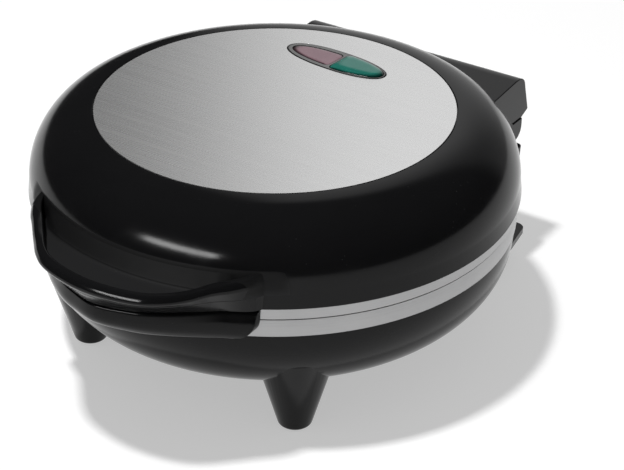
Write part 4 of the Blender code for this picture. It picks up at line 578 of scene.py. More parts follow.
def in_window(mesh):
    """Put a mesh in the window's place."""
    return put(mesh, (WINDOW_X, WINDOW_Y, 0.0), WINDOW_TURN)


def linked(name, data):
    """Put a new object with its data in the scene."""
    made = bpy.data.objects.new(name, data)
    bpy.context.scene.collection.objects.link(made)
    return made


def settled(body, *guides):
    """Return the mesh that an object's modifiers give, and remove the object and its guides."""
    graph = bpy.context.evaluated_depsgraph_get()
    result = bpy.data.meshes.new_from_object(body.evaluated_get(graph))
    for used in (*guides, body):
        bpy.data.objects.remove(used, do_unlink=True)
    return result


def worked(mesh, *steps):
    """Join (+) and cut away (-) solids from a mesh, in order, and return the result."""
    body = linked("work", mesh)
    guides = []
    for sign, shape in steps:
        guide = linked("guide", shape)
        guides.append(guide)
        change = body.modifiers.new("change", "BOOLEAN")
        change.operation = "UNION" if sign == "+" else "DIFFERENCE"
        change.solver = "EXACT"
        change.object = guide
    result = settled(body, *guides)
    bm = bmesh.new()
    bm.from_mesh(result)
    bmesh.ops.dissolve_degenerate(bm, dist=SLIVER_LENGTH, edges=bm.edges)
    bmesh.ops.remove_doubles(bm, verts=bm.verts, dist=WELD_DISTANCE)
    bm.to_mesh(result)
    bm.free()
    return result


def shaded(mesh):
    """Shade a mesh smooth, with corners sharp and with large faces kept even."""
    mesh.shade_smooth()
    mesh.set_sharp_from_angle(angle=SHARP_ANGLE)
    body = linked("work", mesh)
    even = body.modifiers.new("even", "WEIGHTED_NORMAL")
    even.keep_sharp = True
    even.weight = LARGE_FACE_WEIGHT
    return settled(body)


def dressed(name, mesh, finish, body, slot, *nodes):
    """Put a finished piece in its place, on its body, instead of its nodes."""
    result = shaded(put(mesh, (0.0, AXIS_Y, 0.0)))
    result.name = name
    result.materials.clear()
    result.materials.append(finish)
    made = linked(name, result)
    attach(made, body)
    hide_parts(*nodes)


def fastener_places():
    """Return the plan places of the four plate screws."""
    reach = FASTENER_CIRCLE_RADIUS * math.sqrt(0.5)
    return [(x * reach, y * reach) for y in (-1, 1) for x in (-1, 1)]


def leg_places():
    """Return the plan places of the four legs, with their names."""
    x = LEG_CIRCLE_RADIUS * math.sin(LEG_ANGLE)
    y = LEG_CIRCLE_RADIUS * math.cos(LEG_ANGLE)
    ends = (("front", -1), ("rear", 1))
    sides = (("left", -1), ("right", 1))
    return [(f"{end}_{side}", (sx * x, sy * y)) for end, sy in ends for side, sx in sides]


def polar_ring(angle, section):
    """Stand a section of (radius, height) points at an angle from the front."""
    across, ahead = math.sin(angle), -math.cos(angle)
    return [(radius * across, radius * ahead, height) for radius, height in section]


def grip_stations():
    """Return each station round the grip, closer towards its ends: its angle and its share."""
    for step in range(GRIP_STEPS + 1):
        share = math.sin((step / GRIP_STEPS - 0.5) * math.pi)
        yield GRIP_HALF_ANGLE * share, abs(share)


def outline_radius(shares, reach, share):
    """Return the radius of a grip outline at a station."""
    return LID_RADIUS + (reach - LID_RADIUS) * smooth_value(shares, share)


def dome_radius(height):
    """Return the lid's outer radius at a height on its shoulder."""
    rise = min(max(height - SHOULDER_Z, 0.0), SHOULDER_ROUND)
    return SHOULDER_CENTRE + math.sqrt(SHOULDER_ROUND**2 - rise**2)


def half_moon(inset, side):
    """Return the outline of one pocket, drawn in all round by an inset."""
    outer = POCKET_RADIUS - inset
    straight = POCKET_DIVIDER / 2 + inset
    corner = POCKET_CORNER_ROUND
    across = straight + corner
    along = math.sqrt((outer - corner) ** 2 - across**2)
    turn = math.atan2(along, across)
    points = arc((0.0, 0.0), outer, -turn, turn, POCKET_ARC_STEPS)
    points += arc((across, along), corner, turn, math.pi, CORNER_STEPS)[1:]
    points += arc((across, -along), corner, math.pi, math.tau - turn, CORNER_STEPS)[:-1]
    return [(side * x, y) for x, y in points]


def eye_points(inset, low):
    """Return the upper edge of the window, drawn in by an inset, from a low x to its right end."""
    length = WINDOW_HALF_LENGTH - inset
    width = WINDOW_HALF_WIDTH - inset
    edge = []
    for step in range(EYE_STEPS + 1):
        x = low + (length - low) * (1 - math.cos(math.pi * step / EYE_STEPS)) / 2
        fall = min(abs(x / length), 1.0) ** WINDOW_POWER
        edge.append((x, width * (1 - fall) ** (1 / WINDOW_POWER)))
    return edge


def eye_outline(inset):
    """Return the window's outline, drawn in by an inset."""
    return mirrored(eye_points(inset, inset - WINDOW_HALF_LENGTH), y=-1)


def lens_outline(inset, side):
    """Return the outline of the left (-1) or the right (1) lens, its inner corners rounded."""
    widest = RED_LENS_INSET if side < 0 else GREEN_LENS_INSET
    split = LENS_WEB / 2 - side * LENS_SPLIT_X + inset - widest
    edge = []
    for x, y in eye_points(inset, split):
        short = max(0.0, 1 - (x - split) / LENS_CORNER_ROUND)
        edge.append((side * x, y - LENS_CORNER_ROUND * (1 - math.sqrt(1 - short**2))))
    return mirrored(edge, y=-1)


def level(side, distance):
    """Return the height at a distance from the cooking face of the upper or lower plate."""
    return LOWER_PLATE_TOP_Z - distance if side == "lower" else UPPER_PLATE_FACE_Z + distance


def levels(side, near, far):
    """Return the low and the high height of a stretch behind a cooking face."""
    return sorted((level(side, near), level(side, far)))


def depths(side):
    """Return how far a plate's back, its ridge, the screw posts and their seats lie behind its face."""
    back = PLATE_WALL + (LOWER_POCKET_DEPTH if side == "lower" else UPPER_POCKET_DEPTH)
    ridge = back + ELEMENT_RIDGE_HEIGHT
    post = ridge + REFLECTOR_THICKNESS + 2 * SEAT_GAP
    return back, ridge, post, post + SCREW_SEAT_THICKNESS


def upper_grip_section(share):
    """Return the section of the lid's half of the grip, bottom inner corner first."""
    rim_z = LID_RIM_Z + GRIP_RIM_HEIGHT + GRIP_END_RISE * smooth_value(RIM_RISE_SHARES, share)
    wall_z = SHELF_Z + GRIP_WALL_HEIGHT
    wall = dome_radius(wall_z)
    anchor = wall - 2 * LID_WALL
    outer = max(outline_radius(RIM_OUTLINE_SHARES, GRIP_REACH, share), wall)
    seam = outline_radius(SEAM_OUTLINE_SHARES, SEAM_REACH, share)
    inner = max(outer - GRIP_RIM_WIDTH, wall - LID_WALL / 2)
    shelf = min(GRIP_SHELF_REACH, inner)
    start = min(wall, shelf - LID_WALL / 4)
    section = [(anchor, LID_RIM_Z - TRIM_DEPTH), (anchor, wall_z), (start, wall_z)]
    corner = (min(GRIP_SHELF_ROUND, shelf - start), GRIP_SHELF_ROUND)
    centre = (shelf, SHELF_Z + GRIP_SHELF_ROUND)
    section += arc(centre, corner, math.pi, 1.5 * math.pi, CORNER_STEPS)[:-1]
    lean = (outer - seam) / (rim_z - GRIP_RIM_ROUND - LID_RIM_Z)
    top_z = rim_z - GRIP_CREST_DROP
    crest = [
        (shelf, SHELF_Z),
        (inner, SHELF_Z),
        (inner, top_z),
        (max(outer - GRIP_SLANT_WIDTH, inner + GRIP_FLAT_WIDTH), top_z),
        (outer, rim_z - GRIP_RIM_ROUND),
        (seam - lean * TRIM_DEPTH, LID_RIM_Z - TRIM_DEPTH),
    ]
    return section + softened(crest, GRIP_CREST_CUTS)


def lower_grip_section(share):
    """Return the section of the base's half of the grip, bottom inner corner first."""
    inner = PLATE_RIM_RADIUS + BAND_CLEARANCE
    root = BOWL_RADIUS - BASE_WALL / 2
    seam = outline_radius(SEAM_OUTLINE_SHARES, SEAM_REACH, share)
    outer = max(seam, inner + LOWER_GRIP_END_WIDTH)
    top_z = LID_RIM_Z - GRIP_SEAM_GAP
    crease_z = BASE_RIM_Z - LOWER_GRIP_CREASE_DROP
    belly_z = crease_z + (top_z - crease_z) * LOWER_GRIP_BULGE_SHARE
    belly = (outer + LOWER_GRIP_BULGE, belly_z)
    flank = bent((BOWL_RADIUS, crease_z), belly, (outer, top_z - LOWER_GRIP_TOP_ROUND), BEND_STEPS)
    lip = bent(flank[-1], (outer, top_z), (outer - LOWER_GRIP_TOP_ROUND, top_z), SOFT_STEPS)[1:]
    return [(root, crease_z), *flank, *lip, (inner, top_z), (inner, BASE_RIM_Z), (root, BASE_RIM_Z)]


def swept(section):
    """Sweep the section of one grip half round the grip's stations."""
    return loft([polar_ring(angle, section(share)) for angle, share in grip_stations()])


def grip_pocket():
    """Return the hollow of the lower grip half, open where the halves meet."""
    inner = PLATE_RIM_RADIUS + BAND_CLEARANCE + GRIP_WALL
    mouth_z, floor_z = LID_RIM_Z + OVERRUN, BASE_RIM_Z + LOWER_GRIP_POCKET_FLOOR
    middle_z = (mouth_z + floor_z) / 2
    rings = []
    for step in range(GRIP_POCKET_STEPS + 1):
        share = GRIP_POCKET_SHARE * (2 * step / GRIP_POCKET_STEPS - 1)
        outer = outline_radius(SEAM_OUTLINE_SHARES, SEAM_REACH, abs(share)) - GRIP_WALL
        deep = inner + (outer - inner) * LOWER_GRIP_FLOOR_SHARE
        section = [(inner, mouth_z), (inner, floor_z), (deep, floor_z), (outer, middle_z), (outer, mouth_z)]
        rings.append(polar_ring(GRIP_HALF_ANGLE * share, section))
    return loft(rings)


def lower_grip_corner(side):
    """Return what is cut off below one end of the lower grip to round its corner."""
    low = BASE_RIM_Z + LOWER_GRIP_CORNER_RISE
    radius = LOWER_GRIP_CORNER_ROUND
    centre = (LOWER_GRIP_HALF_WIDTH - LOWER_GRIP_SIDE_DRAFT - radius, low + radius)
    far = LOWER_GRIP_HALF_WIDTH + radius
    top = LID_RIM_Z + OVERRUN
    outline = [(LOWER_GRIP_HALF_WIDTH, top)] + arc(centre, radius, 0.0, -math.pi / 2, ARC_STEPS)
    below = BASE_RIM_Z - LOWER_GRIP_CREASE_DROP - OVERRUN
    outline += [(centre[0], below), (far, below), (far, top)]
    return prism([(side * x, z) for x, z in outline], -GRIP_REACH, 0.0, "Y")


def dome_cavity_profile():
    """Return the hollow of the lid, a wall's thickness inside its outline."""
    inner = SHOULDER_ROUND - LID_WALL
    ceiling_turn = math.asin(min((LID_CEILING_Z - SHOULDER_Z) / inner, 1.0))
    side = arc((SHOULDER_CENTRE, SHOULDER_Z), inner, 0.0, ceiling_turn, ARC_STEPS)
    mouth = LID_RADIUS - RIM_LIP_WIDTH
    step_z = LID_RIM_Z - SEAT_GAP / 4
    rim = LID_RADIUS - LID_WALL
    below = [(0.0, BASE_RIM_Z), (mouth, BASE_RIM_Z), (mouth, step_z), (rim, step_z)]
    return below + side + [(0.0, LID_CEILING_Z)]


def rounded_end(half, start, radius):
    """Return the plan outline of a rear part, from its front corners to its rounded rear ones."""
    corner = (half - radius, REAR_BLOCK_REACH - radius)
    return mirrored(start + arc(corner, radius, 0.0, math.pi / 2, CORNER_STEPS), x=-1)


def rear_block():
    """Return the hinge block of the base, a little narrower at its foot."""
    ends = ((REAR_FOOT_Z, REAR_BLOCK_FOOT_HALF_WIDTH), (BASE_RIM_Z, REAR_BLOCK_HALF_WIDTH))
    return loft([
        [(x, y, z) for x, y in rounded_end(half, [(half, REAR_BLOCK_FRONT_REACH)], REAR_BLOCK_ROUND)]
        for z, half in ends
    ])


def rear_foot():
    """Return the flared foot under the rear block."""
    widest = (REAR_FOOT_HALF_WIDTH + REAR_FOOT_SPREAD, REAR_BLOCK_REACH - REAR_FOOT_LENGTH)
    start = [(REAR_BLOCK_FOOT_HALF_WIDTH, REAR_BLOCK_FRONT_REACH), widest]
    return prism(rounded_end(REAR_FOOT_HALF_WIDTH, start, REAR_FOOT_ROUND), REAR_FOOT_Z, REAR_FLOOR_Z)


def hinge_bar(radius, side, near, far):
    """Return a round bar on the hinge axis, over a stretch on one side."""
    ends = sorted((side * near, side * far))
    return prism(circle(radius, ROUND_SIDES, (HINGE_REACH, HINGE_Z)), *ends, "X")


def hinge_lug(side):
    """Return one lug of the base that holds a hinge pin."""
    root_z = BASE_RIM_Z - EAR_RADIUS
    side_view = circle(EAR_RADIUS, ROUND_SIDES, (HINGE_REACH, HINGE_Z))
    side_view += [(REAR_BLOCK_REACH - 2 * EAR_RADIUS, root_z), (REAR_BLOCK_REACH - EAR_RADIUS, root_z)]
    bm = bmesh.new()
    for x in sorted((side * LUG_INNER_X, side * LUG_OUTER_X)):
        for y, z in side_view:
            bm.verts.new((x, y, z))
    made = bmesh.ops.convex_hull(bm, input=bm.verts)
    spare = [item for item in made["geom_interior"] if isinstance(item, bmesh.types.BMVert)]
    bmesh.ops.delete(bm, geom=spare, context="VERTS")
    return closed_up(bm)


def block_outline():
    """Return the side view of the lid's hinge block as (y, z) points."""
    bottom = BASE_RIM_Z + BLOCK_BOTTOM_RISE
    top = BASE_RIM_Z + BLOCK_TOP_RISE
    edge = (BLOCK_REAR_REACH - BLOCK_EDGE_SETBACK, top - BLOCK_EDGE_FALL)
    crown = (BLOCK_REAR_REACH - BLOCK_TOP_SETBACK, top)
    bend = (edge[0] - BLOCK_TOP_FALL / 2, top)
    outline = [(BLOCK_ROOT_REACH, bottom), (BLOCK_REAR_REACH - BLOCK_HEEL_SETBACK, bottom)]
    outline.append((BLOCK_REAR_REACH, bottom + BLOCK_HEEL_RISE))
    outline += bent(edge, bend, crown, BEND_STEPS)
    fall = BLOCK_TOP_FALL * (crown[0] - BLOCK_ROOT_REACH) / (crown[0] - BLOCK_SHOULDER_REACH)
    outline.append((BLOCK_ROOT_REACH, top - fall))
    return outline


def ear_outline():
    """Return the side view of one hinge ear of the lid as (y, z) points."""
    bottom = BASE_RIM_Z + BLOCK_BOTTOM_RISE + EAR_STEP
    shoulder_z = BASE_RIM_Z + BLOCK_TOP_RISE - BLOCK_TOP_FALL - EAR_STEP
    root = BLOCK_ROOT_REACH + EAR_STEP
    around = arc((HINGE_REACH, HINGE_Z), EAR_RADIUS, 0.0, -math.pi, ROUND_SIDES // 2)
    return around + [
        (HINGE_REACH - EAR_RADIUS, bottom),
        (root, bottom),
        (root, shoulder_z),
        (BLOCK_SHOULDER_REACH, shoulder_z),
        (BLOCK_EDGE_REACH, bottom),
        (HINGE_REACH + EAR_RADIUS, bottom),
    ]


def ridge_profile(back, ridge):
    """Return the ridge on a plate's back, with the groove that the element lies in."""
    groove = ELEMENT_TUBE_RADIUS + 2 * SEAT_GAP
    half = groove + ELEMENT_RIDGE_WALL
    outer = [(ELEMENT_RADIUS + half, back), (ELEMENT_RADIUS + half, ridge)]
    inner = [(ELEMENT_RADIUS - half, ridge), (ELEMENT_RADIUS - half, back)]
    bed = arc((ELEMENT_RADIUS, ridge), groove, 0.0, -math.pi, 2 * CORNER_STEPS)
    return outer + bed + inner


def bowl_profile(offset, rim_z):
    """Return the bowl's outline from the floor's middle to the rim's middle, drawn in by an offset."""
    across = BOWL_RADIUS - BOWL_FLOOR_RADIUS - offset
    down = BOWL_DEPTH - BOWL_WIDEST_DROP - offset
    rim_turn = math.asin(min(BOWL_WIDEST_DROP / down, 1.0))
    side = arc((BOWL_FLOOR_RADIUS, BOWL_WIDEST_Z), (across, down), -math.pi / 2, rim_turn, ARC_STEPS)
    if rim_z > BASE_RIM_Z:
        side.append((side[-1][0], rim_z))
        return [(0.0, side[0][1])] + side + [(0.0, rim_z)]
    return [(0.0, side[0][1])] + softened(side + [(0.0, rim_z)], [0.0] * (len(side) - 2) + [SOFT_EDGE])


def dome_profile():
    """Return the lid's outline from the middle of its underside to the middle of its top."""
    shoulder = arc((SHOULDER_CENTRE, SHOULDER_Z), SHOULDER_ROUND, 0.0, math.pi / 2, ARC_STEPS)
    low = LID_RIM_Z - OVERRUN
    return [(0.0, low), (LID_RADIUS, low), (LID_RADIUS, LID_RIM_Z)] + shoulder + [(0.0, LID_TOP_Z)]


def leg():
    """Return one tapered leg on its own axis, its sole at the bottom and its crown inside the bowl."""
    low = PAD_PROUD
    top = BASE_RIM_Z - LEG_TOP_DROP
    slope = math.tan(LEG_TAPER)
    centre = (LEG_SOLE_RADIUS - LEG_SOLE_ROUND, low + LEG_SOLE_ROUND)
    sole = arc(centre, LEG_SOLE_ROUND, -math.pi / 2, -LEG_TAPER, CORNER_STEPS)
    crown_z = top - LEG_CROWN_HEIGHT
    widest = LEG_SOLE_RADIUS + slope * (crown_z - low)
    crown = [(widest, crown_z), (widest - LEG_CROWN_INSET / 4, top - LEG_CROWN_HEIGHT / 3)]
    crown += [(widest - LEG_CROWN_INSET, top), (0.0, top)]
    return turned([(0.0, low)] + sole + crown, ROUND_SIDES)


def rounded_bar(half_width, outline, width):
    """Return a bar across X with a side view and with its end edges eased."""
    return eased(prism(outline, -half_width, half_width, "X"), width, half_width, axis=0)


def fastening(side, root_z, mouth_z):
    """Return the steps that add a shell's screw posts, sink their wells and bore their holes."""
    _, _, post, seat = depths(side)
    bore = (SCREW_SHANK_RADIUS + SHANK_CLEARANCE, *levels(side, post - OVERRUN, seat + OVERRUN), SMALL_SIDES)
    return [(sign, at_places(shape, fastener_places())) for sign, shape in (
        ("+", rod(POST_RADIUS, *sorted((root_z, level(side, post))))),
        ("-", rod(WELL_RADIUS, *sorted((mouth_z, level(side, seat))))),
        ("-", rod(*bore)),
    )]


def base_mesh():
    """Return the bowl with its legs, grip half, rear block and hinge lugs."""
    corners = [("-", lower_grip_corner(side)) for side in (-1, 1)]
    inside = REAR_BLOCK_FOOT_HALF_WIDTH - BASE_WALL
    rear_cavity = box(
        (-inside, REAR_BLOCK_FRONT_REACH + BASE_WALL, REAR_FLOOR_Z),
        (inside, REAR_BLOCK_REACH - BASE_WALL, BASE_RIM_Z - BASE_WALL),
    )
    pad_seat = rod(PAD_RADIUS + SEAT_GAP, -OVERRUN, PAD_THICKNESS + SEAT_GAP)
    inlet = circle(INLET_NECK_RADIUS + SEAT_GAP, ROUND_SIDES, (0.0, BASE_RIM_Z - INLET_DROP))
    legs = [place for _, place in leg_places()]
    steps = [
        ("+", rear_block()),
        ("+", rear_foot()),
        ("+", worked(swept(lower_grip_section), ("-", grip_pocket()), *corners)),
        ("+", at_places(leg(), legs)),
        ("-", turned(bowl_profile(BASE_WALL, BASE_RIM_Z + OVERRUN), BODY_SIDES)),
        ("-", rear_cavity),
        *fastening("lower", BOWL_FLOOR_Z + BASE_WALL / 2, 0.0),
    ]
    for side in (-1, 1):
        steps += [
            ("-", hinge_bar(EAR_RADIUS + EAR_NOTCH_GAP, side, LUG_OUTER_X, EAR_OUTER_X + HINGE_SIDE_GAP)),
            ("+", hinge_lug(side)),
            ("-", hinge_bar(PIN_RADIUS + SEAT_GAP, side, LUG_INNER_X - OVERRUN, EAR_INNER_X + OVERRUN)),
        ]
    steps += [
        ("-", at_places(pad_seat, legs)),
        ("-", prism(inlet, REAR_BLOCK_REACH - 2 * BASE_WALL, REAR_BLOCK_REACH + OVERRUN, "Y")),
    ]
    return worked(turned(bowl_profile(0.0, BASE_RIM_Z), BODY_SIDES), *steps)


def lid_mesh():
    """Return the dome with its grip half, hinge block and ears."""
    far = 2 * GRIP_REACH
    steps = [
        ("+", swept(upper_grip_section)),
        ("-", box((-far, -far, BASE_RIM_Z), (far, far, LID_RIM_Z))),
        ("+", rounded_bar(BLOCK_HALF_WIDTH, block_outline(), BLOCK_EDGE)),
    ]
    half_ear = (EAR_OUTER_X - EAR_INNER_X) / 2
    for side in (-1, 1):
        recess = (LUG_INNER_X - HINGE_SIDE_GAP, EAR_INNER_X + EAR_STEP)
        ear = rounded_bar(half_ear, ear_outline(), SOFT_EDGE)
        steps += [
            ("-", hinge_bar(EAR_RADIUS + LUG_POCKET_GAP, side, *recess)),
            ("+", put(ear, (side * (EAR_INNER_X + half_ear), 0.0, 0.0))),
        ]
    steps.append(("-", turned(dome_cavity_profile(), BODY_SIDES)))
    for side in (-1, 1):
        pin_hole = (EAR_INNER_X - OVERRUN, EAR_INNER_X + PIN_BLIND_DEPTH)
        steps.append(("-", hinge_bar(PIN_RADIUS + SEAT_GAP, side, *pin_hole)))
    steps += [
        ("-", rod(DISC_RADIUS + DISC_SIDE_GAP, DISC_SEAT_Z, LID_TOP_Z + OVERRUN, BODY_SIDES)),
        *fastening("upper", LID_CEILING_Z + LID_WALL / 2, LID_TOP_Z),
        ("-", in_window(prism(eye_outline(-SEAT_GAP), LID_CEILING_Z - OVERRUN, LID_TOP_Z))),
    ]
    return worked(turned(dome_profile(), BODY_SIDES), *steps)


def pocket(plate_side, side, depth):
    """Return the hollow of one half-moon pocket, its lip and its floor rounded."""
    slope = POCKET_DRAFT / depth
    stations = [(-OVERRUN, -POCKET_LIP)]
    for step in range(SOFT_STEPS + 1):
        turn = math.pi / 2 * step / SOFT_STEPS
        distance = POCKET_LIP * (1 - math.cos(turn))
        stations.append((distance, slope * distance - POCKET_LIP * (1 - math.sin(turn))))
    for step in range(CORNER_STEPS + 1):
        turn = math.pi / 2 * step / CORNER_STEPS
        distance = depth - POCKET_FLOOR_ROUND * (1 - math.sin(turn))
        inset = slope * (depth - POCKET_FLOOR_ROUND) + POCKET_FLOOR_ROUND * (1 - math.cos(turn))
        stations.append((distance, inset))
    return loft([
        [(x, y, level(plate_side, distance)) for x, y in half_moon(inset, side)]
        for distance, inset in stations
    ])


def rim_profile(side):
    """Return the edge of a plate, from its cooking face to the step behind its rim."""
    if side == "lower":
        behind = LOWER_RIM_HEIGHT - SEAT_GAP
        edge = [
            (PLATE_RIM_RADIUS - RIM_LEAN, 0.0),
            (PLATE_RIM_RADIUS, LOWER_RIM_FOOT_HEIGHT),
        ]
        cuts = (RIM_EASE, LOWER_RIM_FOOT_HEIGHT / 2, RIM_EASE)
    else:
        behind = LID_RIM_Z - UPPER_PLATE_FACE_Z - SEAT_GAP
        edge = [(PLATE_RIM_RADIUS, 0.0)]
        cuts = (UPPER_RIM_EASE, RIM_EASE)
    start = (PLATE_BODY_RADIUS, 0.0)
    edge = [start] + edge + [(PLATE_RIM_RADIUS, behind), (PLATE_BODY_TOP_RADIUS, behind)]
    return softened(edge, cuts)


def plate_mesh(side, depth):
    """Return one cooking plate with its two pockets, element ridge and screw bosses."""
    back, ridge = depths(side)[:2]
    profile = [(0.0, 0.0)] + rim_profile(side) + [(PLATE_BODY_RADIUS, back)]
    profile += ridge_profile(back, ridge) + [(0.0, back)]
    boss = rod(BOSS_RADIUS, *levels(side, back - PLATE_WALL / 3, ridge))
    bite = levels(side, ridge - SCREW_BITE - SEAT_GAP, ridge + OVERRUN)
    pilot = rod(SCREW_SHANK_RADIUS + SEAT_GAP, *bite, SMALL_SIDES)
    return worked(
        turned([(radius, level(side, distance)) for radius, distance in profile], BODY_SIDES),
        ("+", at_places(boss, fastener_places())),
        ("-", at_places(pilot, fastener_places())),
        ("-", pocket(side, -1, depth)),
        ("-", pocket(side, 1, depth)),
    )


def disc_mesh():
    """Return the steel disc with its window hole and its eased edges."""
    low = DISC_SEAT_Z + SEAT_GAP
    high = low + DISC_THICKNESS
    sheet = turned([(0.0, low), (DISC_RADIUS, low), (DISC_RADIUS, high), (0.0, high)], BODY_SIDES)
    hole = in_window(prism(eye_outline(-WINDOW_GAP), low - OVERRUN, LID_TOP_Z + OVERRUN))
    return eased(worked(sheet, ("-", hole)), DISC_EASE, high, THIN_EASE_STEPS)


def bezel_mesh():
    """Return the window's bezel with the holes of its two lenses."""
    top = LID_TOP_Z + BEZEL_PROUD
    holes = [
        ("-", prism(lens_outline(inset - SEAT_GAP, side), LID_CEILING_Z - OVERRUN, LID_TOP_Z + OVERRUN))
        for side, inset in ((-1, RED_LENS_INSET), (1, GREEN_LENS_INSET))
    ]
    plug = worked(prism(eye_outline(0.0), LID_CEILING_Z, top), *holes)
    return in_window(eased(plug, BEZEL_EASE, top, THIN_EASE_STEPS))


def lens_mesh(side, inset, rise):
    """Return one lens with a crowned top."""
    dome_width = LENS_DOME_WIDTH if side > 0 else LENS_DOME_WIDTH / 2
    rings = [(inset, LID_CEILING_Z), (inset, LID_TOP_Z - BEZEL_EASE)]
    for step in range(1, LENS_RINGS + 1):
        turn = math.pi / 2 * step / LENS_RINGS
        height = LID_TOP_Z - BEZEL_EASE + (rise + BEZEL_EASE) * math.sin(turn)
        rings.append((inset + dome_width * (1 - math.cos(turn)), height))
    return in_window(loft([[(x, y, z) for x, y in lens_outline(drawn, side)] for drawn, z in rings]))


def pad_mesh():
    """Return one rubber foot pad with a rounded sole and a shallow hollow."""
    line = [
        (0.0, PAD_DISH), (PAD_DISH_RADIUS, PAD_DISH), (PAD_RING_RADIUS, 0.0), (PAD_RADIUS, 0.0),
        (PAD_RADIUS, PAD_THICKNESS),
    ]
    return turned(softened(line, (SOFT_EDGE, FINE_EDGE, FINE_EDGE)) + [(0.0, PAD_THICKNESS)], SMALL_SIDES)


def screw_mesh(length):
    """Return a plate screw that points up, a cross recess in its head, threads on its shank."""
    shank, head, low = SCREW_SHANK_RADIUS, SCREW_HEAD_RADIUS, -SCREW_HEAD_HEIGHT
    line = [(0.0, low), (head, low), (head, 0.0), (shank, 0.0)]
    profile = softened(line, (SCREW_HEAD_CUT, FINE_EDGE / 3))
    for step in range(round((length - 2 * shank) / THREAD_PITCH)):
        z = shank / 2 + THREAD_PITCH * step
        profile += [(shank - THREAD_DEPTH, z), (shank, z + THREAD_PITCH / 2)]
    profile += [(shank - THREAD_DEPTH, length - shank), (0.0, length)]
    slots = [
        ("-", box((-x, -y, low - OVERRUN), (x, y, CROSS_FLOOR)))
        for x, y in ((CROSS_ARM, CROSS_BLADE), (CROSS_BLADE, CROSS_ARM))
    ]
    return worked(turned(profile, SMALL_SIDES), *slots)


def four_corners():
    """Build the node tree that sets a shape at the four corners of a rectangle."""
    tree = bpy.data.node_groups.new("four_corners", "GeometryNodeTree")
    face = tree.interface
    face.new_socket("Shape", in_out="INPUT", socket_type="NodeSocketGeometry")
    for name in ("Width", "Depth", "Height"):
        face.new_socket(name, in_out="INPUT", socket_type="NodeSocketFloat")
    face.new_socket("Flip", in_out="INPUT", socket_type="NodeSocketFloat")
    face.new_socket("Finish", in_out="INPUT", socket_type="NodeSocketMaterial")
    face.new_socket("Shape", in_out="OUTPUT", socket_type="NodeSocketGeometry")
    kinds = {
        "given": "NodeGroupInput", "grid": "GeometryNodeMeshGrid", "lift": "GeometryNodeSetPosition",
        "offset": "ShaderNodeCombineXYZ", "turn": "ShaderNodeCombineXYZ", "set": "GeometryNodeInstanceOnPoints",
        "real": "GeometryNodeRealizeInstances", "paint": "GeometryNodeSetMaterial", "out": "NodeGroupOutput",
    }
    node = {name: tree.nodes.new(kind) for name, kind in kinds.items()}
    node["grid"].inputs["Vertices X"].default_value = 2
    node["grid"].inputs["Vertices Y"].default_value = 2
    for start, output, end, socket in (
        ("given", "Width", "grid", "Size X"), ("given", "Depth", "grid", "Size Y"),
        ("grid", "Mesh", "lift", "Geometry"), ("given", "Height", "offset", "Z"),
        ("offset", "Vector", "lift", "Offset"), ("lift", "Geometry", "set", "Points"),
        ("given", "Shape", "set", "Instance"), ("given", "Flip", "turn", "X"),
        ("turn", "Vector", "set", "Rotation"), ("set", "Instances", "real", "Geometry"),
        ("real", "Geometry", "paint", "Geometry"), ("given", "Finish", "paint", "Material"),
        ("paint", "Geometry", "out", "Shape"),
    ):
        tree.links.new(node[start].outputs[output], node[end].inputs[socket])
    return tree


def repeated(tree, mesh, **sizes):
    """Run a node tree on a shape with its sizes and return the plain mesh."""
    body = linked("work", mesh)
    change = body.modifiers.new("repeat", "NODES")
    change.node_group = tree
    named = {item.name: item.identifier for item in tree.interface.items_tree if item.in_out == "INPUT"}
    for name, value in sizes.items():
        change[named[name]] = value
    return settled(body)


def pin_mesh():
    """Return one hinge pin that points up, with a domed head."""
    length = EAR_INNER_X + PIN_BLIND_DEPTH - LUG_INNER_X
    line = [(0.0, -PIN_HEAD_LENGTH), (PIN_HEAD_RADIUS, -PIN_HEAD_LENGTH), (PIN_HEAD_RADIUS, 0.0)]
    line += [(PIN_RADIUS, 0.0), (PIN_RADIUS, length), (0.0, length)]
    return turned(softened(line, (PIN_HEAD_CUT, FINE_EDGE, 0.0, SOFT_EDGE)), SMALL_SIDES)


def inlet_mesh():
    """Return the bush that lines the cord hole, its mouth rounded and its nose ribbed."""
    inner = -BASE_WALL - SEAT_GAP
    deep = inner - INLET_FLANGE_THICKNESS
    line = [
        (INLET_BORE_RADIUS, deep), (INLET_FLANGE_RADIUS, deep), (INLET_FLANGE_RADIUS, inner),
        (INLET_NECK_RADIUS, inner), (INLET_NECK_RADIUS, SEAT_GAP), (INLET_FLANGE_RADIUS, SEAT_GAP),
        (INLET_FLANGE_RADIUS - INLET_RIB / 2, INLET_RIB), (INLET_NOSE_RADIUS, INLET_RIB_FALL),
        (INLET_NOSE_RADIUS, INLET_NOSE_LENGTH), (INLET_BORE_RADIUS, INLET_NOSE_LENGTH),
        (INLET_BORE_RADIUS, deep + FINE_EDGE),
    ]
    cuts = [FINE_EDGE] * 2 + [0.0] * 2 + [FINE_EDGE] * 4 + [SOFT_EDGE]
    return turned(softened(line, cuts), ROUND_SIDES)


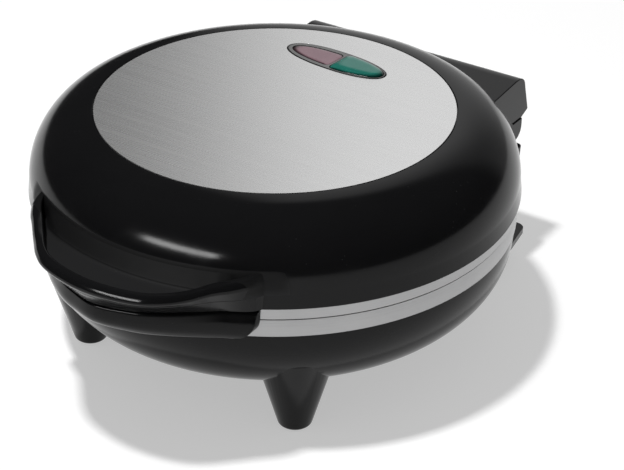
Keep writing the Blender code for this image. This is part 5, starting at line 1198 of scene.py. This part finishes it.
class Level:
    """A number that changes over a finish; sums on it add Math nodes."""

    def __init__(self, finish, socket):
        self.finish = finish
        self.socket = socket

    def worked_out(self, operation, *values):
        """Return the outcome of one Math node."""
        return Level(self.finish, self.finish.node(
            "ShaderNodeMath", {"operation": operation}, dict(enumerate(values))).outputs[0])

    __add__ = __radd__ = lambda self, other: self.worked_out("ADD", self, other)
    __mul__ = __rmul__ = lambda self, other: self.worked_out("MULTIPLY", self, other)
    __sub__ = lambda self, other: self.worked_out("SUBTRACT", self, other)
    __rsub__ = lambda self, other: self.worked_out("SUBTRACT", other, self)
    __truediv__ = lambda self, other: self.worked_out("DIVIDE", self, other)
    __pow__ = lambda self, other: self.worked_out("POWER", self, other)
    __abs__ = lambda self: self.worked_out("ABSOLUTE", self)

    def rising(self, low, high, bottom=0.0, top=1.0):
        """Rise smoothly from bottom to top between two values."""
        made = self.finish.node(
            "ShaderNodeMapRange", {"interpolation_type": "SMOOTHSTEP"},
            {"Value": self, "From Min": low, "From Max": high, "To Min": bottom, "To Max": top})
        return Level(self.finish, made.outputs["Result"])

    def falling(self, low, high):
        """Fall smoothly from 1 to 0 between two values."""
        return self.rising(low, high, 1.0, 0.0)


class Finish:
    """The node tree of one finish while it is made."""

    def __init__(self, name, owner=None):
        self.owner = owner or bpy.data.materials.new(name)
        self.owner.use_nodes = True
        self.tree = self.owner.node_tree
        self.shader = self.tree.nodes.get("Principled BSDF")
        self.place = self.node("ShaderNodeTexCoord").outputs["Object"]

    def node(self, kind, settings=None, values=None):
        """Add a node: its settings first, then the values or links of its sockets."""
        made = self.tree.nodes.new(kind)
        for name, value in (settings or {}).items():
            setattr(made, name, value)
        for name, value in (values or {}).items():
            self.plug(made.inputs[name], value)
        return made

    def plug(self, socket, value):
        """Give a socket its value or its link; a colour comes as red, green and blue."""
        value = value.socket if isinstance(value, Level) else value
        if isinstance(value, bpy.types.NodeSocket):
            self.tree.links.new(value, socket)
        else:
            socket.default_value = (*value, 1.0) if socket.type == "RGBA" else value

    def set(self, **values):
        """Give the shader's sockets their values or links; _ stands for a space."""
        for name, value in values.items():
            self.plug(self.shader.inputs[name.replace("_", " ")], value)
        return self.owner

    def moved(self, centre, turn=0.0):
        """Return the place counted from a centre and turned about the upright axis."""
        back = self.node("ShaderNodeVectorMath", {"operation": "SUBTRACT"}, {0: self.place, 1: centre})
        values = {"Vector": back.outputs[0], "Rotation": (0, 0, -turn)}
        return self.node("ShaderNodeMapping", {"vector_type": "POINT"}, values).outputs["Vector"]

    def parts(self, place=None):
        """Return x, y and z of a place."""
        made = self.node("ShaderNodeSeparateXYZ", None, {0: place or self.place})
        return [Level(self, output) for output in made.outputs]

    def joined(self, x, y, z):
        """Return a place made of three numbers."""
        return self.node("ShaderNodeCombineXYZ", None, {"X": x, "Y": y, "Z": z}).outputs[0]

    def grain(self, scale, detail=2.0, roughness=0.5, place=None, distortion=0.0):
        """Return a noise with its own scale along each direction, in turns per metre."""
        scale = scale if isinstance(scale, tuple) else (scale,) * 3
        values = {"Vector": place or self.place, "Scale": scale}
        spread = self.node("ShaderNodeMapping", {"vector_type": "POINT"}, values).outputs[0]
        noise = self.node("ShaderNodeTexNoise", None, {
            "Vector": spread, "Scale": 1.0, "Detail": detail, "Roughness": roughness, "Distortion": distortion})
        return Level(self, noise.outputs[0])

    def specks(self, scale, size):
        """Return a mask of sparse round specks."""
        made = self.node("ShaderNodeTexVoronoi", {"feature": "F1"}, {"Vector": self.place, "Scale": scale})
        return Level(self, made.outputs["Distance"]).falling(size * SPECK_CORE, size)

    def blend(self, share, first, second):
        """Return a colour between two colours."""
        return self.node("ShaderNodeMix", {"data_type": "RGBA"}, {0: share, 6: first, 7: second}).outputs[2]

    def relief(self, height, depth, strength):
        """Return a normal with a relief of some depth in metres."""
        values = {"Height": height, "Distance": depth, "Strength": strength}
        return self.node("ShaderNodeBump", None, values).outputs[0]

    def ring(self):
        """Return the distance from the body axis and the angle round it."""
        x, y, _ = self.parts(self.moved((0.0, AXIS_Y, 0.0)))
        return (x * x + y * y) ** 0.5, x.worked_out("ARCTAN2", y, x)


def satin_and_painted_sheen_zone(finish):
    """Return a mask of the recess behind the grip's rim, which is rougher and painted paler there as a stand-in
    for the light it reflects, and how far up in it a place lies.
    """
    reach, _ = finish.ring()
    _, y, z = finish.parts()
    floor_part = abs(z - SHELF_Z).falling(*SATIN_AND_PAINTED_SHEEN_FLOOR_FADE)
    wall_part = reach.falling(*SATIN_AND_PAINTED_SHEEN_WALL_REACH) * z.rising(*SATIN_AND_PAINTED_SHEEN_WALL_FOOT) * z.falling(*SATIN_AND_PAINTED_SHEEN_WALL_TOP)
    front = reach.rising(*SATIN_AND_PAINTED_SHEEN_DOME_FADE) * y.falling(*SATIN_AND_PAINTED_SHEEN_FRONT)
    return (floor_part + wall_part).rising(0.0, 1.0) * front, z.rising(*PAINTED_SHEEN_RISE)


def black_moulding():
    """Black glossy moulding with faint flow marks, handling smudges and settled dust, and a painted sheen in the
    grip's recess: a paler colour, fading darker up its wall, stands in for the light it reflects.
    """
    finish = Finish("black_gloss_moulding")
    flow = finish.grain((18, 18, 42), 3.0, 0.55)
    smudge = finish.grain(34, 4.0, 0.6, distortion=0.6).rising(0.52, 0.72)
    skin = finish.grain(1500)
    dust = finish.specks(420, 0.09) * finish.grain(60).rising(0.5, 0.65)
    satin_and_painted_sheen, rise = satin_and_painted_sheen_zone(finish)
    # Painted sheen: inside the recess the colour turns paler, most at the shelf, to stand in for reflected light
    tone = finish.blend(satin_and_painted_sheen, finish.blend(flow, *BLACK_TONES), finish.blend(rise, *PAINTED_SHEEN_TONES))
    return finish.set(
        Base_Color=finish.blend(dust * 0.5, tone, DUST_TONE),
        Roughness=0.12 + 0.05 * smudge + 0.03 * flow + 0.2 * dust + 0.46 * satin_and_painted_sheen,
        Specular_IOR_Level=0.18,
        Normal=finish.relief(skin, 0.00001, 0.35),
    )


def brushed_disc():
    """Stainless sheet brushed from left to right, with long and fine strokes."""
    finish = Finish("brushed_disc_steel")
    fine = finish.grain((22, 5200, 300), 3.0, 0.6)
    stroke = finish.grain((9, 1150, 60), 3.0, 0.6)
    broad = finish.grain((5, 170, 30))
    cloud = finish.grain(16)
    scratch = finish.grain((40, 2600, 60), 1.0).rising(0.72, 0.78)
    tone = 0.35 * fine + 0.4 * stroke + 0.25 * broad
    return finish.set(
        Base_Color=finish.blend(tone, *STEEL_TONES),
        Metallic=0.84,
        Roughness=0.2 + 0.12 * stroke + 0.03 * cloud + 0.05 * scratch,
        Normal=finish.relief(0.6 * fine + 0.8 * stroke + 0.2 * scratch, 0.000022, 0.55),
    )


def cooking_plate(name, face_z):
    """Cast aluminium: a bare turned rim, and a dark non-stick coat on the cooking face."""
    finish = Finish(name)
    reach, turn = finish.ring()
    _, _, z = finish.parts()
    lines = finish.grain(1.0, 2.0, 0.6, finish.joined(turn * 3, reach * 2600, z * 2600))
    cloud = finish.grain(45, 3.0)
    cast = finish.grain(700, 3.0)
    flake = finish.specks(2600, 0.3)
    coat = reach.falling(*COAT_REACH) * abs(z - face_z).falling(*COAT_DEPTH)
    wear = finish.grain(120, 4.0, 0.65).rising(0.6, 0.75) * coat
    bare = finish.blend(0.6 * lines + 0.4 * cloud, *ALUMINIUM_TONES)
    return finish.set(
        Base_Color=finish.blend(coat, bare, finish.blend(flake * 0.5 + cloud * 0.3, *COAT_TONES)),
        Metallic=1.0 - coat,
        Roughness=0.30 + 0.1 * lines + coat * 0.08 + wear * 0.06,
        Normal=finish.relief(coat * cast * 0.8 + (1 - coat) * lines * 0.5, 0.00005, 0.4),
    )


def plain_metal(name):
    """Metal with drawn lines, a cloudy tarnish and small pits."""
    finish = Finish(name)
    dark, light, roughness, lines = METALS[name]
    cloud = finish.grain(90, 4.0, 0.6)
    drawn = finish.grain((60, 60, 2400))
    pits = finish.specks(900, 0.1)
    return finish.set(
        Base_Color=finish.blend(cloud * (1 - lines) + drawn * lines, dark, light),
        Metallic=1.0,
        Roughness=roughness + 0.12 * cloud + 0.1 * pits,
        Normal=finish.relief(drawn * 0.5 + cloud * 0.5 - pits, 0.00003, 0.4),
    )


def plain_matt(name):
    """Matt stuff with a fine grain, uneven colour and some specks."""
    finish = Finish(name)
    dark, light, roughness, scale, speckle = MATTS[name]
    cloud = finish.grain(110, 4.0, 0.6)
    grain = finish.grain(scale, 3.0, 0.6)
    speck = finish.specks(scale / 2, 0.16)
    return finish.set(
        Base_Color=finish.blend(0.6 * cloud + 0.4 * grain - speck * speckle, dark, light),
        Roughness=roughness + 0.12 * grain,
        Normal=finish.relief(grain, 0.00004, 0.5),
    )


def clear_piece(name):
    """Tinted clear plastic of the window: painted shade makes it darker towards its edge, with faint ribs below.
    """
    finish = Finish(name)
    dark, light, roughness, rise, painted_edge_shade, inset = CLEARS[name]
    x, y, _ = finish.parts(finish.moved((WINDOW_X, WINDOW_Y + AXIS_Y, 0.0), WINDOW_TURN))
    long = abs(x / (WINDOW_HALF_LENGTH - inset)) ** WINDOW_POWER
    wide = abs(y / (WINDOW_HALF_WIDTH - inset)) ** WINDOW_POWER
    # Painted shade: each piece darkens towards its edge, where shade falls between the window's pieces
    edge = ((long + wide) ** (1 / WINDOW_POWER)).rising(*painted_edge_shade)
    ribs = x.worked_out("SINE", x * 5200) * 0.5 + 0.5
    cloud = finish.grain(160, 3.0)
    tint = finish.blend(0.7 * cloud + 0.3 * ribs * rise, dark, light)
    return finish.set(
        Base_Color=finish.blend(edge, tint, tuple(channel * LENS_EDGE_SHADE for channel in dark)),
        Roughness=roughness + 0.05 * cloud,
        Coat_Weight=0.2 + 0.1 * cloud,
        Specular_IOR_Level=0.28,
        Coat_Roughness=0.04,
        Normal=finish.relief(finish.grain(700), 0.00002, 0.3),
    )


def seen_mask(finish):
    """Return 1 for what the camera, metal and glass see, and 0 for the light that falls."""
    path = finish.node("ShaderNodeLightPath")
    seen = [Level(finish, path.outputs[f"Is {kind} Ray"]) for kind in ("Camera", "Glossy", "Transmission")]
    return (seen[0] + seen[1] + seen[2]).rising(0.0, 1.0)


def staged(name, bm, finish):
    """Stand a part of the studio with its finish."""
    mesh = closed_up(bm)
    mesh.materials.append(finish.owner)
    made = linked(name, mesh)
    return made


def floor():
    """Lay the plain pale floor."""
    bm = bmesh.new()
    bmesh.ops.create_circle(bm, cap_ends=True, segments=FLOOR_SIDES, radius=FLOOR_RADIUS)
    finish = Finish("pale_floor")
    finish.set(
        Base_Color=finish.blend(finish.grain(300), (FLOOR_TONE * 0.985,) * 3, (FLOOR_TONE,) * 3),
        Roughness=0.95,
        Specular_IOR_Level=0.0,
        Emission_Color=finish.blend(seen_mask(finish), BLACK, (FLOOR_GLOW,) * 3),
        Emission_Strength=1.0,
    )
    staged("floor", bm, finish)


def studio_wall():
    """Hang the studio's surroundings, which only shiny surfaces see: black in front, pale behind."""
    bm = bmesh.new()
    bmesh.ops.create_icosphere(bm, subdivisions=WALL_SUBDIVISIONS, radius=WALL_RADIUS)
    finish = Finish("studio_wall")
    x, y, z = finish.parts()
    across, ahead = math.cos(VIEW_AZIMUTH), math.sin(VIEW_AZIMUTH)
    right = (x * across + y * ahead) / WALL_RADIUS
    back = (y * across - x * ahead) / WALL_RADIUS
    bearing = right.worked_out("ARCTAN2", right, back)
    bright = bearing.rising(*WALL_FADE, *WALL_TONES) * back.rising(*WALL_FRONT)
    tone = bright * z.rising(*WALL_LIFT_Z, *WALL_LIFT) * bearing.rising(*WALL_SIDE, *WALL_SIDE_TONES)
    glow = finish.node("ShaderNodeEmission", None, {"Color": finish.blend(tone, BLACK, WHITE), "Strength": 1.0})
    finish.plug(finish.tree.nodes["Material Output"].inputs["Surface"], glow.outputs[0])
    finish.tree.nodes.remove(finish.shader)
    made = staged("studio_wall", bm, finish)
    for ray in ("camera", "diffuse", "transmission", "volume_scatter", "shadow"):
        setattr(made, f"visible_{ray}", False)


def heading(turn, rise):
    """Return the direction at a bearing from the front and at an angle above the floor."""
    return Vector((math.sin(turn) * math.cos(rise), -math.cos(turn) * math.cos(rise), math.sin(rise)))


def lamp(name, direction, distance, size, power):
    """Hang one rectangular lamp that faces the object."""
    light = bpy.data.lights.new(name, "AREA")
    light.shape = "RECTANGLE"
    light.size, light.size_y = size
    light.energy = power
    made = linked(name, light)
    way = Vector(direction).normalized()
    made.location = Vector(LAMP_TARGET) + way * distance
    made.rotation_euler = way.to_track_quat("Z", "Y").to_euler()
    made.visible_camera = False
    return made


def studio():
    """Set the floor, the lights and the surroundings."""
    floor()
    studio_wall()
    key = lamp("key_lamp", KEY_DIRECTION, KEY_DISTANCE, (KEY_SIZE, KEY_SIZE), KEY_POWER)
    key.visible_glossy = False
    strip = lamp("strip_lamp", heading(*STRIP_BEARING), STRIP_DISTANCE, STRIP_SIZE, STRIP_POWER)
    strip.visible_diffuse = False
    world = bpy.data.worlds.new("studio")
    bpy.context.scene.world = world
    air = Finish("studio", world)
    colour = air.blend(seen_mask(air), (AIR_TONE,) * 3, WHITE)
    air.plug(air.tree.nodes["Background"].inputs["Color"], colour)
    bpy.context.scene.view_settings.view_transform = "Standard"


def camera():
    """Set the camera at the photograph's angle."""
    lens = bpy.data.cameras.new("camera")
    lens.lens, lens.sensor_width = CAMERA_LENS, CAMERA_SENSOR
    lens.shift_x, lens.shift_y = CAMERA_SHIFT
    made = linked("camera", lens)
    back = heading(VIEW_AZIMUTH, VIEW_ELEVATION)
    right = Vector((math.cos(VIEW_AZIMUTH), math.sin(VIEW_AZIMUTH), 0.0))
    turn = Matrix((right, back.cross(right), back)).transposed()
    made.matrix_world = Matrix.Translation(Vector(CAMERA_TARGET) + back * CAMERA_DISTANCE) @ turn.to_4x4()
    bpy.context.scene.camera = made


def repaint(finishes):
    """Give the nodes that stay as they are their finishes."""
    for names, finish in finishes:
        for name in names:
            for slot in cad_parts[name].material_slots:
                slot.material = finish


def main():
    """Dress the whole appliance."""
    camera()
    black = black_moulding()
    zinc = plain_metal("zinc_steel")
    rubber = plain_matt("rubber")
    dressed("lid_moulding", lid_mesh(), black, "lid", "black_plastic", "lid_shell")
    dressed("base_moulding", base_mesh(), black, "base", "black_plastic", "base_shell")
    for side, body, depth, face_z in (
        ("lower", "base", LOWER_POCKET_DEPTH, LOWER_PLATE_TOP_Z),
        ("upper", "lid", UPPER_POCKET_DEPTH, UPPER_PLATE_FACE_Z),
    ):
        metal = cooking_plate(f"{side}_plate_metal", face_z)
        dressed(f"{side}_cooking_plate", plate_mesh(side, depth), metal, body, "cast_aluminium", f"{side}_plate")
    dressed("lid_disc", disc_mesh(), brushed_disc(), "lid", "brushed_steel", "top_disc")
    frame_plastic = clear_piece("window_frame_plastic")
    dressed("window_frame", bezel_mesh(), frame_plastic, "lid", "clear_grey_plastic", "window_bezel")
    for colour, side, inset, rise in (
        ("red", -1, RED_LENS_INSET, RED_LENS_RISE), ("green", 1, GREEN_LENS_INSET, GREEN_LENS_RISE),
    ):
        lens, tint = lens_mesh(side, inset, rise), clear_piece(f"{colour}_lens_plastic")
        dressed(f"window_{colour}", lens, tint, "lid", f"{colour}_lens", f"{colour}_lens")
    corners = four_corners()
    leg_x, leg_y = leg_places()[3][1]
    pads = repeated(corners, pad_mesh(), Width=2 * leg_x, Depth=2 * leg_y, Height=0.0, Flip=0.0, Finish=rubber)
    dressed("rubber_pads", pads, rubber, "base", "rubber", *(f"foot_pad_{name}" for name, _ in leg_places()))
    spread = 2 * fastener_places()[3][0]
    for side, body, flip in (("lower", "base", 0.0), ("upper", "lid", math.pi)):
        _, ridge, _, seat = depths(side)
        screw = screw_mesh(seat - ridge + SEAT_GAP + SCREW_BITE)
        height = level(side, seat + SEAT_GAP)
        screws = repeated(corners, screw, Width=spread, Depth=spread, Height=height, Flip=flip, Finish=zinc)
        nodes = (f"{side}_plate_screw_{number}" for number in range(1, 5))
        dressed(f"{side}_plate_screws", screws, zinc, body, "zinc_steel", *nodes)
    for name, side in (("left", -1), ("right", 1)):
        place = (side * (LUG_INNER_X - SEAT_GAP), HINGE_REACH, HINGE_Z)
        pin = put(pin_mesh(), place, side * math.pi / 2, "Y")
        dressed(f"{name}_hinge_pin", pin, zinc, "base", "zinc_steel", f"hinge_pin_{name}")
    bush = put(inlet_mesh(), (0.0, REAR_BLOCK_REACH, BASE_RIM_Z - INLET_DROP), -math.pi / 2, "X")
    dressed("cord_bush", bush, rubber, "base", "rubber", "cord_inlet")
    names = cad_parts
    repaint((
        (("lower_element", "upper_element"), plain_metal("element_sheath")),
        (("lower_reflector", "upper_reflector"), plain_metal("reflector_sheet")),
        ([name for name in names if "screw" in name and "plate" not in name], zinc),
        (("thermostat", "terminal_block"), plain_matt("white_ceramic")),
        (("thermal_fuse",), plain_matt("fuse_case")),
        (("lamp_holder",), plain_matt("holder_plastic")),
        (("red_lamp", "green_lamp"), plain_matt("lamp_glass")),
        ([name for name in names if "lead" in name and ("live" in name or "fuse" in name or "thermo" in name)],
         plain_matt("brown_lead")),
        ([name for name in names if "lead" in name and "neutral" in name], plain_matt("blue_lead")),
    ))
    studio()


main()
